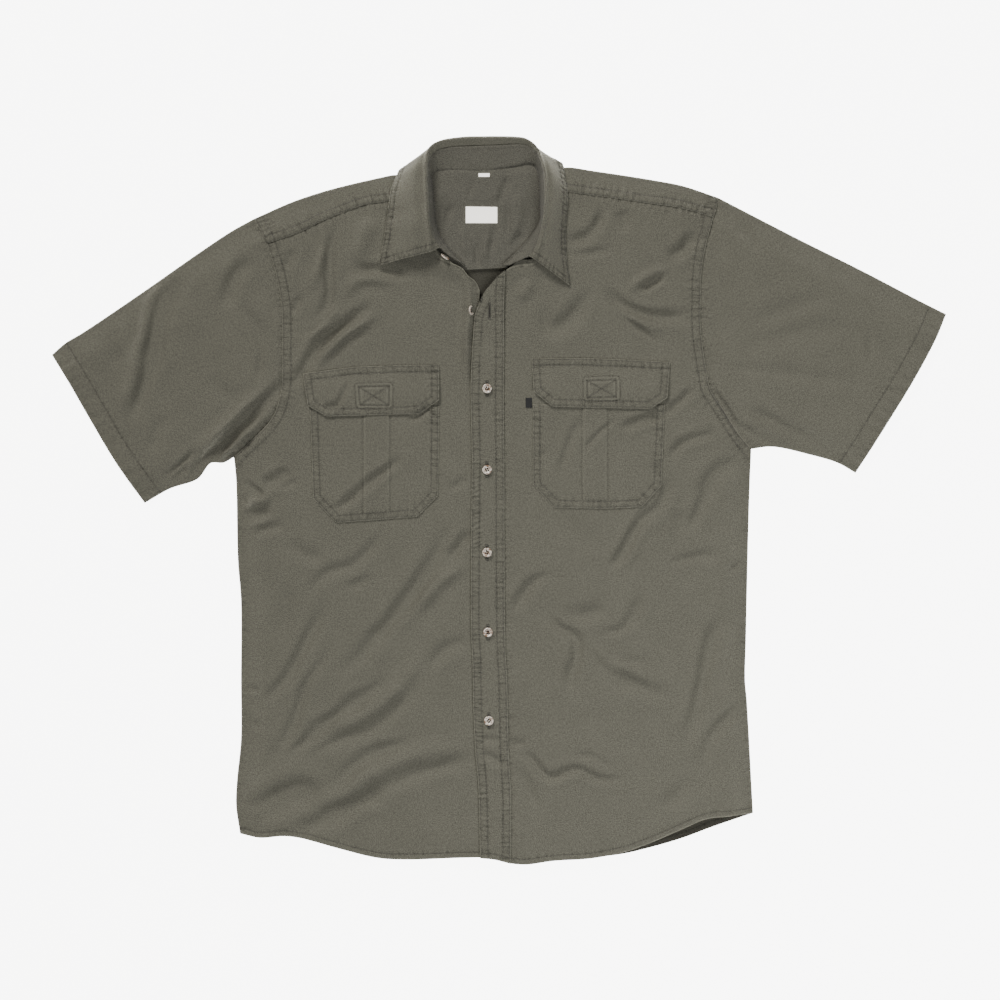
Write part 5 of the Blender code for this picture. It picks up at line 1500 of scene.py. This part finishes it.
def thread_mesh(name, strands, width, material):
    """Short strands of thread as thin tubes, joined in one piece."""
    bm = bmesh.new()
    for strand in strands:
        run = run_of(strand, 3)[-1]
        line = at(strand, np.linspace(0, run, 7), 3)
        for a, b in zip(line[:-1], line[1:]):
            span = Vector(b - a)
            place = Matrix.Translation(Vector((a + b) / 2)) @ turned_to(span)
            bmesh.ops.create_cone(bm, cap_ends=True, segments=6, radius1=width / 2,
                                  radius2=width / 2, depth=span.length * 1.1, matrix=place)
    mesh = bpy.data.meshes.new(name)
    bm.to_mesh(mesh)
    bm.free()
    mesh.transform(Matrix.Scale(MM, 4))
    return finish_piece(name, mesh, material)


def all_buttons():
    """Name, place, facing and turn of each button."""
    places = []
    for k, (x, y) in enumerate(FRONT_BUTTONS, start=1):
        top = float(placket_face(np.array([[x, y]]))[0][0])
        places.append(("button_%d" % k, (x, y, top + 0.5), (0.02 * (-1) ** k, 0.03, 1.0),
                       0.5 + 0.7 * k))
    for name, x, y, z, facing in TURNED_BUTTONS:
        places.append((name, (x, y, z), facing, 0.4))
    return places


def hole_bars(x, y, seed, spread):
    """Satin stitches on both sides of a buttonhole, and a bar at each end. A button under it
    spreads its sides."""
    places, ahead = [], []
    jitter = np.random.default_rng(seed)
    for side in (-1, 1):
        for s in np.arange(-HOLE_LENGTH / 2, HOLE_LENGTH / 2, 0.62):
            bow = spread * math.sqrt(max(1 - (2 * s / HOLE_LENGTH) ** 2, 0))
            places.append((x + side * (1.0 + bow), y + s, 0.0))
            ahead.append((1.0, 0.10 + jitter.normal(0, 0.05), 0.0))
    for end in (-1, 1):
        for s in np.arange(-1.5, 1.6, 0.6):
            places.append((x + s, y + end * (HOLE_LENGTH / 2 + 0.4), 0.1))
            ahead.append((0.05, 1.0, 0.0))
    places = np.array(places)
    places[:, 2] += placket_face(places[:, :2])[0] + 0.05
    return places, np.array(ahead)


def flat_piece(name, corners, count, rise, face, material, node, thickness):
    """A small piece cut square and laid on a face."""
    corners = np.array(corners, dtype=float)
    top, bottom = (resample(corners[list(pair)], count[0]) for pair in ((0, 1), (3, 2)))
    left, right = (resample(corners[list(pair)], count[1]) for pair in ((0, 3), (1, 2)))
    grid = coons(top, bottom, left, right)
    z = face(grid.reshape(-1, 2)) + rise + thickness
    z = z + 0.12 * swell(grid.reshape(-1, 2), 6.0, 91)
    mesh = grid_mesh(np.dstack([grid, z.reshape(grid.shape[:2])]))
    faces_up(mesh)
    return finish_piece(name, mesh, material, node, thickness * MM)


def boxed(x, y, wide, tall):
    return [(x - wide / 2, y + tall / 2), (x + wide / 2, y + tall / 2),
            (x + wide / 2, y - tall / 2), (x - wide / 2, y - tall / 2)]


# ---------------------------------------------------------------- settings

class ShirtSizes(bpy.types.PropertyGroup):
    shell: FloatProperty(name="Cloth thickness", description="Wall of each cloth panel",
                         default=0.0009, min=0.0003, max=0.003, unit="LENGTH", precision=4)
    stitch_length: FloatProperty(name="Stitch length", description="Visible length of a stitch",
                                 default=0.0025, unit="LENGTH", precision=4)
    stitch_pitch: FloatProperty(name="Stitch pitch", description="Distance between stitches",
                                default=0.0032, unit="LENGTH", precision=4)
    button_diameter: FloatProperty(name="Button diameter", description="Width of a button",
                                   default=0.0108, unit="LENGTH", precision=4)
    view_width: FloatProperty(name="View width", description="Width that the camera frames",
                              default=1.13, unit="LENGTH")
    key_power: FloatProperty(name="Key light", description="Power of the light at upper left",
                             default=232.0, unit="POWER")
    fill_power: FloatProperty(name="Fill light", description="Power of the wide overhead light",
                              default=17.0, unit="POWER")
    table_glow: FloatProperty(name="Table glow", description="How strongly the table is lit",
                              default=8.0, min=0.0)
    label_painted_light: FloatProperty(name="Label glow", description="Painted light that makes the white tape glow",
                              default=1.6, min=0.0)
    sky: FloatProperty(name="Room light", description="Light from all sides", default=0.04,
                       min=0.0)


def tint(name, description, colour):
    return FloatVectorProperty(name=name, description=description, subtype="COLOR", size=3,
                               min=0.0, max=1.0, default=linear(colour)[:3])


class ShirtColours(bpy.types.PropertyGroup):
    cloth: tint("Cloth", "Outside of the olive twill", "6d6b5f")
    inside: tint("Cloth inside", "Inside of the olive twill", "66645a")
    # Painted shade: the back's inside is darker, so the opening under the neck reads as shaded.
    back_inside_painted_shade: tint("Back inside", "Inside of the back, darkened as painted shade", "4a483f")
    # Painted shade: the thread is darker than the cloth, standing for the shade in the stitch
    # grooves.
    thread: tint("Thread", "Sewing thread", "55534a")
    dark_thread_painted_shade: tint("Dark thread", "Thread of the buttons and the open slits", "26241e")
    shell: tint("Button", "Pale layers of the buttons", "f8eddd")
    shell_dark: tint("Button dark", "Dark layers of the buttons", "94745c")
    label: tint("Label", "Neck label and size tab", "faf6ec")
    side_tab: tint("Side tab", "Tab on the left front", "1c1c1c")
    table: tint("Table", "Lit board under the shirt", "f6f6f5")


# ---------------------------------------------------------------- operators

class SHIRT_OT_stage(bpy.types.Operator):
    """Add the pale table, the soft lights and the camera that looks straight down"""
    bl_idname = "shirt.stage"
    bl_label = "Stage"

    def execute(self, context):
        bm = bmesh.new()
        bmesh.ops.create_grid(bm, x_segments=4, y_segments=4, size=4.0)
        bmesh.ops.translate(bm, verts=bm.verts[:], vec=(0, 0, -0.0004))
        mesh = bpy.data.meshes.new("table")
        bm.to_mesh(mesh)
        bm.free()
        mesh.materials.append(finish("table"))
        table = bpy.data.objects.new("table", mesh)
        collection().objects.link(table)
        for name, place, size, power, tint in (
                ("key", KEY_PLACE, KEY_SIZE, sizes().key_power, (1.0, 0.985, 0.96)),
                ("fill", FILL_PLACE, FILL_SIZE, sizes().fill_power, (0.97, 0.985, 1.0))):
            lamp = bpy.data.lights.new(name, "AREA")
            lamp.shape, lamp.size = "SQUARE", size
            lamp.energy, lamp.color = power, tint
            obj = bpy.data.objects.new(name, lamp)
            obj.location = place
            obj.rotation_euler = Vector(place).to_track_quat("Z", "Y").to_euler()
            collection().objects.link(obj)
        world = bpy.data.worlds.new("studio")
        world.use_nodes = True
        background = world.node_tree.nodes["Background"]
        background.inputs["Color"].default_value = (1, 1, 1, 1)
        background.inputs["Strength"].default_value = sizes().sky
        context.scene.world = world
        lens = bpy.data.cameras.new("overhead")
        lens.lens, lens.sensor_width, lens.sensor_fit = 85.0, 36.0, "HORIZONTAL"
        camera = bpy.data.objects.new("overhead", lens)
        camera.location = (CAMERA_X, 0.0, sizes().view_width * lens.lens / lens.sensor_width)
        collection().objects.link(camera)
        context.scene.camera = camera
        return {"FINISHED"}


class SHIRT_OT_back(bpy.types.Operator):
    """Add the back panel, flat on the table"""
    bl_idname = "shirt.back"
    bl_label = "Back"

    def execute(self, context):
        back = make_back()
        return {"FINISHED"}


class SHIRT_OT_yoke(bpy.types.Operator):
    """Add the yoke, turned over both shoulders"""
    bl_idname = "shirt.yoke"
    bl_label = "Yoke"

    def execute(self, context):
        yoke = make_yoke()
        return {"FINISHED"}


class SHIRT_OT_sleeves(bpy.types.Operator):
    """Add both sleeves, each a flat tube with a deep hem"""
    bl_idname = "shirt.sleeves"
    bl_label = "Sleeves"

    def execute(self, context):
        for side in ("right", "left"):
            sleeve = make_sleeve(side)
        return {"FINISHED"}


class SHIRT_OT_fronts(bpy.types.Operator):
    """Add the right and left fronts"""
    bl_idname = "shirt.fronts"
    bl_label = "Fronts"

    def execute(self, context):
        for side in ("right", "left"):
            front = make_front(side)
        return {"FINISHED"}


class SHIRT_OT_placket(bpy.types.Operator):
    """Add the placket band over the front edges"""
    bl_idname = "shirt.placket"
    bl_label = "Placket"

    def execute(self, context):
        band = make_placket()
        return {"FINISHED"}


class SHIRT_OT_pockets(bpy.types.Operator):
    """Add the two patch pockets and their flaps"""
    bl_idname = "shirt.pockets"
    bl_label = "Pockets and flaps"

    def execute(self, context):
        for side in ("right", "left"):
            pocket, flap = make_pocket(side), make_flap(side)
        return {"FINISHED"}


class SHIRT_OT_collar(bpy.types.Operator):
    """Add the collar stand and the collar leaf"""
    bl_idname = "shirt.collar"
    bl_label = "Collar"

    def execute(self, context):
        stand, leaf = make_stand(), make_leaf()
        return {"FINISHED"}


class SHIRT_OT_buttons(bpy.types.Operator):
    """Add the seven buttons, each with its thread"""
    bl_idname = "shirt.buttons"
    bl_label = "Buttons"

    def execute(self, context):
        strands = []
        for name, place, facing, spin in all_buttons():
            mesh = button_mesh(name, place, facing, spin)
            piece = finish_piece(name + "_shell", mesh, finish("shell"), name)
            piece.data.set_sharp_from_angle(angle=math.radians(50))
            strands += button_thread(place, facing, spin)
        # The button thread is dark thread, drawn darker to stand also for the painted shade in the
        # holes.
        thread_mesh("button_thread", strands, 0.42, finish("dark_thread_painted_shade"))
        return {"FINISHED"}


class SHIRT_OT_buttonholes(bpy.types.Operator):
    """Add the satin-stitched buttonholes of the placket"""
    bl_idname = "shirt.buttonholes"
    bl_label = "Buttonholes"

    def execute(self, context):
        places, ahead, slits = [], [], bmesh.new()
        for k, (x, y) in enumerate([OPEN_HOLE] + FRONT_BUTTONS):
            p, a = hole_bars(x, y, 1200 + k, 0.0 if k == 0 else 1.1)
            places.append(p)
            ahead.append(a)
            z = placket_face(np.array([[x, y]]))[0][0]
            # Painted shade: each slit is a dark lens standing for the shadow in the open
            # buttonhole.
            bmesh.ops.create_uvsphere(
                slits, u_segments=12, v_segments=8, radius=0.5,
                matrix=Matrix.Translation((x, y, z)) @ Matrix.Diagonal(
                    (0.9 if k == 0 else 3.0, HOLE_LENGTH - 1.0, 0.9, 1.0)))
        places, ahead = np.vstack(places), np.vstack(ahead)
        ahead /= np.linalg.norm(ahead, axis=1)[:, None]
        side = np.cross([0.0, 0.0, 1.0], ahead)
        axes = np.stack([ahead, side, np.cross(ahead, side)], axis=1)
        scales = np.tile([1.5, 0.55, 0.5], (len(places), 1))
        repeated("buttonhole_thread", stitch_shape(), places, axes, scales,
                 finish("thread"))
        mesh = bpy.data.meshes.new("slits")
        slits.to_mesh(mesh)
        slits.free()
        mesh.transform(Matrix.Scale(MM, 4))
        finish_piece("buttonhole_slits", mesh, finish("dark_thread_painted_shade"))
        return {"FINISHED"}


class SHIRT_OT_labels(bpy.types.Operator):
    """Add the plain neck label, the size tab and the pocket's side tab"""
    bl_idname = "shirt.labels"
    bl_label = "Label and tabs"

    def execute(self, context):
        label = flat_piece("neck_label_tape", LABEL, (36, 18), 0.15, yoke_inside,
                           finish("label"), "neck_label", 0.45)
        tab = flat_piece("size_tab_tape", boxed(*SIZE_TAB), (16, 8), 0.5, yoke_inside,
                         finish("label"), "size_tab", 0.4)
        side = flat_piece("side_tab_tape", boxed(*SIDE_TAB), (12, 16), 0.35,
                          lambda xy: front_base(xy, "left"), finish("black_tape"), "side_tab",
                          0.5)
        return {"FINISHED"}


class SHIRT_OT_stitching(bpy.types.Operator):
    """Add the rows of stitches of every seam"""
    bl_idname = "shirt.stitching"
    bl_label = "Stitching"

    def execute(self, context):
        for side, sign in SIGN.items():
            def front(xy, s=side):
                return front_face(xy, s)[0]

            def strip(xy, s=side):
                fold = spline(SHOULDER_RIGHT if s == "right" else SHOULDER_LEFT, 110)
                return yoke_face(xy, s, fold)[0]

            arm = BODY_ARM[side]
            lines = [row_of(arm[ARM_FRONT:], sign * d, front) for d in ARM_ROWS]
            lines.append(row_of(HEM[side], sign * HEM_ROW, front))
            stitching("front_%s_stitching" % side, lines)
            lines = [row_of(YOKE_SEAM[side], sign * d, strip) for d in YOKE_ROWS]
            lines += [row_of(arm[:ARM_FRONT + 1], sign * d, strip) for d in ARM_ROWS]
            stitching("yoke_%s_stitching" % side, lines)
            cuff = spline(SLEEVES[side][2], 90)
            stitching("sleeve_%s_stitching" % side,
                      [row_of(cuff, sign * CUFF_ROW, lambda xy, s=side: sleeve_face(xy, s)[0])])
            pocket = []
            for d in POCKET_ROWS:
                path = offset_path(pocket_edge(side), d)
                pocket.append(self.dense(path, lambda xy, s=side: pocket_face(xy, s)[0]))
            stitching("pocket_%s_stitching" % side, pocket)
            outline, patch = POCKETS[side][1], np.array(POCKETS[side][4], dtype=float)
            flap = [self.dense(offset_path(outline, d, closed=True)[
                list(range(len(outline))) + [0]], lambda xy, s=side: flap_face(xy, s)[0])
                for d in (1.3, 8.0)]
            for corners in (patch[[0, 1, 2, 3, 0]], patch[[0, 2]], patch[[1, 3]]):
                flap.append(self.dense(corners, lambda xy, s=side: flap_face(xy, s)[0]))
            stitching("flap_%s_stitching" % side, flap)

        def band(xy):
            return placket_face(xy)[0]

        lines = [row_of(PLACKET_SIDE_LEFT, d, band) for d in PLACKET_ROWS]
        lines += [row_of(shifted(PLACKET_SIDE, -SEAM), -d, band) for d in PLACKET_ROWS]
        lines.append(row_of(spline(PLACKET_FOOT, 20), HEM_ROW, band))
        stitching("placket_stitching", lines)
        self.collar()
        return {"FINISHED"}

    def dense(self, path, face):
        """A path with corners as close points on a face."""
        line = resample(np.array(path, dtype=float), max(int(run_of(path)[-1] / 1.2), 4))
        return np.column_stack([line, face(line) + 0.10])

    def collar(self):
        """Two rows round the leaf, and the rows that join stand and leaf."""
        grid, normal, outer, first, last = fine_leaf()
        lines = []
        for d in LEAF_ROWS:
            j = int(np.argmin(np.abs(outer[len(outer) // 2] - d)))
            i = int(np.argmin(np.abs(first[:, -1] - d)))
            k = len(first) - 1 - int(np.argmin(np.abs(last[::-1, -1] - d)))
            face = grid + normal * 0.55
            face[:, :, 2] = np.maximum(face[:, :, 2], 0.3)
            lines.append(np.vstack([face[i, 6:j], face[i:k, j], face[k, 6:j][::-1]]))
        stitching("collar_leaf_stitching", lines)
        stand = fine_stand()
        out = normals_of(stand)
        lines = []
        for share in (0.10, 0.9):
            j = int(share * (stand.shape[1] - 1))
            for face in (-0.62, 0.62):
                lines.append(stand[4:-4, j] + out[4:-4, j] * face)
        stitching("collar_stand_stitching", lines)


PIECES = (SHIRT_OT_stage, SHIRT_OT_back, SHIRT_OT_yoke, SHIRT_OT_sleeves, SHIRT_OT_fronts,
          SHIRT_OT_placket, SHIRT_OT_pockets, SHIRT_OT_collar, SHIRT_OT_buttons,
          SHIRT_OT_buttonholes, SHIRT_OT_labels, SHIRT_OT_stitching)


class SHIRT_PT_panel(bpy.types.Panel):
    """Sizes of the shirt and a button for each of its pieces"""
    bl_idname = "SHIRT_PT_panel"
    bl_label = "Safari shirt"
    bl_space_type = "VIEW_3D"
    bl_region_type = "UI"
    bl_category = "Shirt"

    def draw(self, context):
        scene = context.scene
        for values in (scene.shirt_sizes, scene.shirt_colours):
            for name in type(values).__annotations__:
                self.layout.prop(values, name)
        for piece in PIECES:
            self.layout.operator(piece.bl_idname)


CLASSES = (ShirtSizes, ShirtColours) + PIECES + (SHIRT_PT_panel,)


def register():
    for cls in CLASSES:
        bpy.utils.register_class(cls)
    bpy.types.Scene.shirt_sizes = PointerProperty(type=ShirtSizes)
    bpy.types.Scene.shirt_colours = PointerProperty(type=ShirtColours)


def unregister():
    del bpy.types.Scene.shirt_sizes
    del bpy.types.Scene.shirt_colours
    for cls in reversed(CLASSES):
        bpy.utils.unregister_class(cls)


def main():
    register()
    for piece in PIECES:
        group, name = piece.bl_idname.split(".")
        getattr(getattr(bpy.ops, group), name)()


if __name__ == "__main__":
    main()
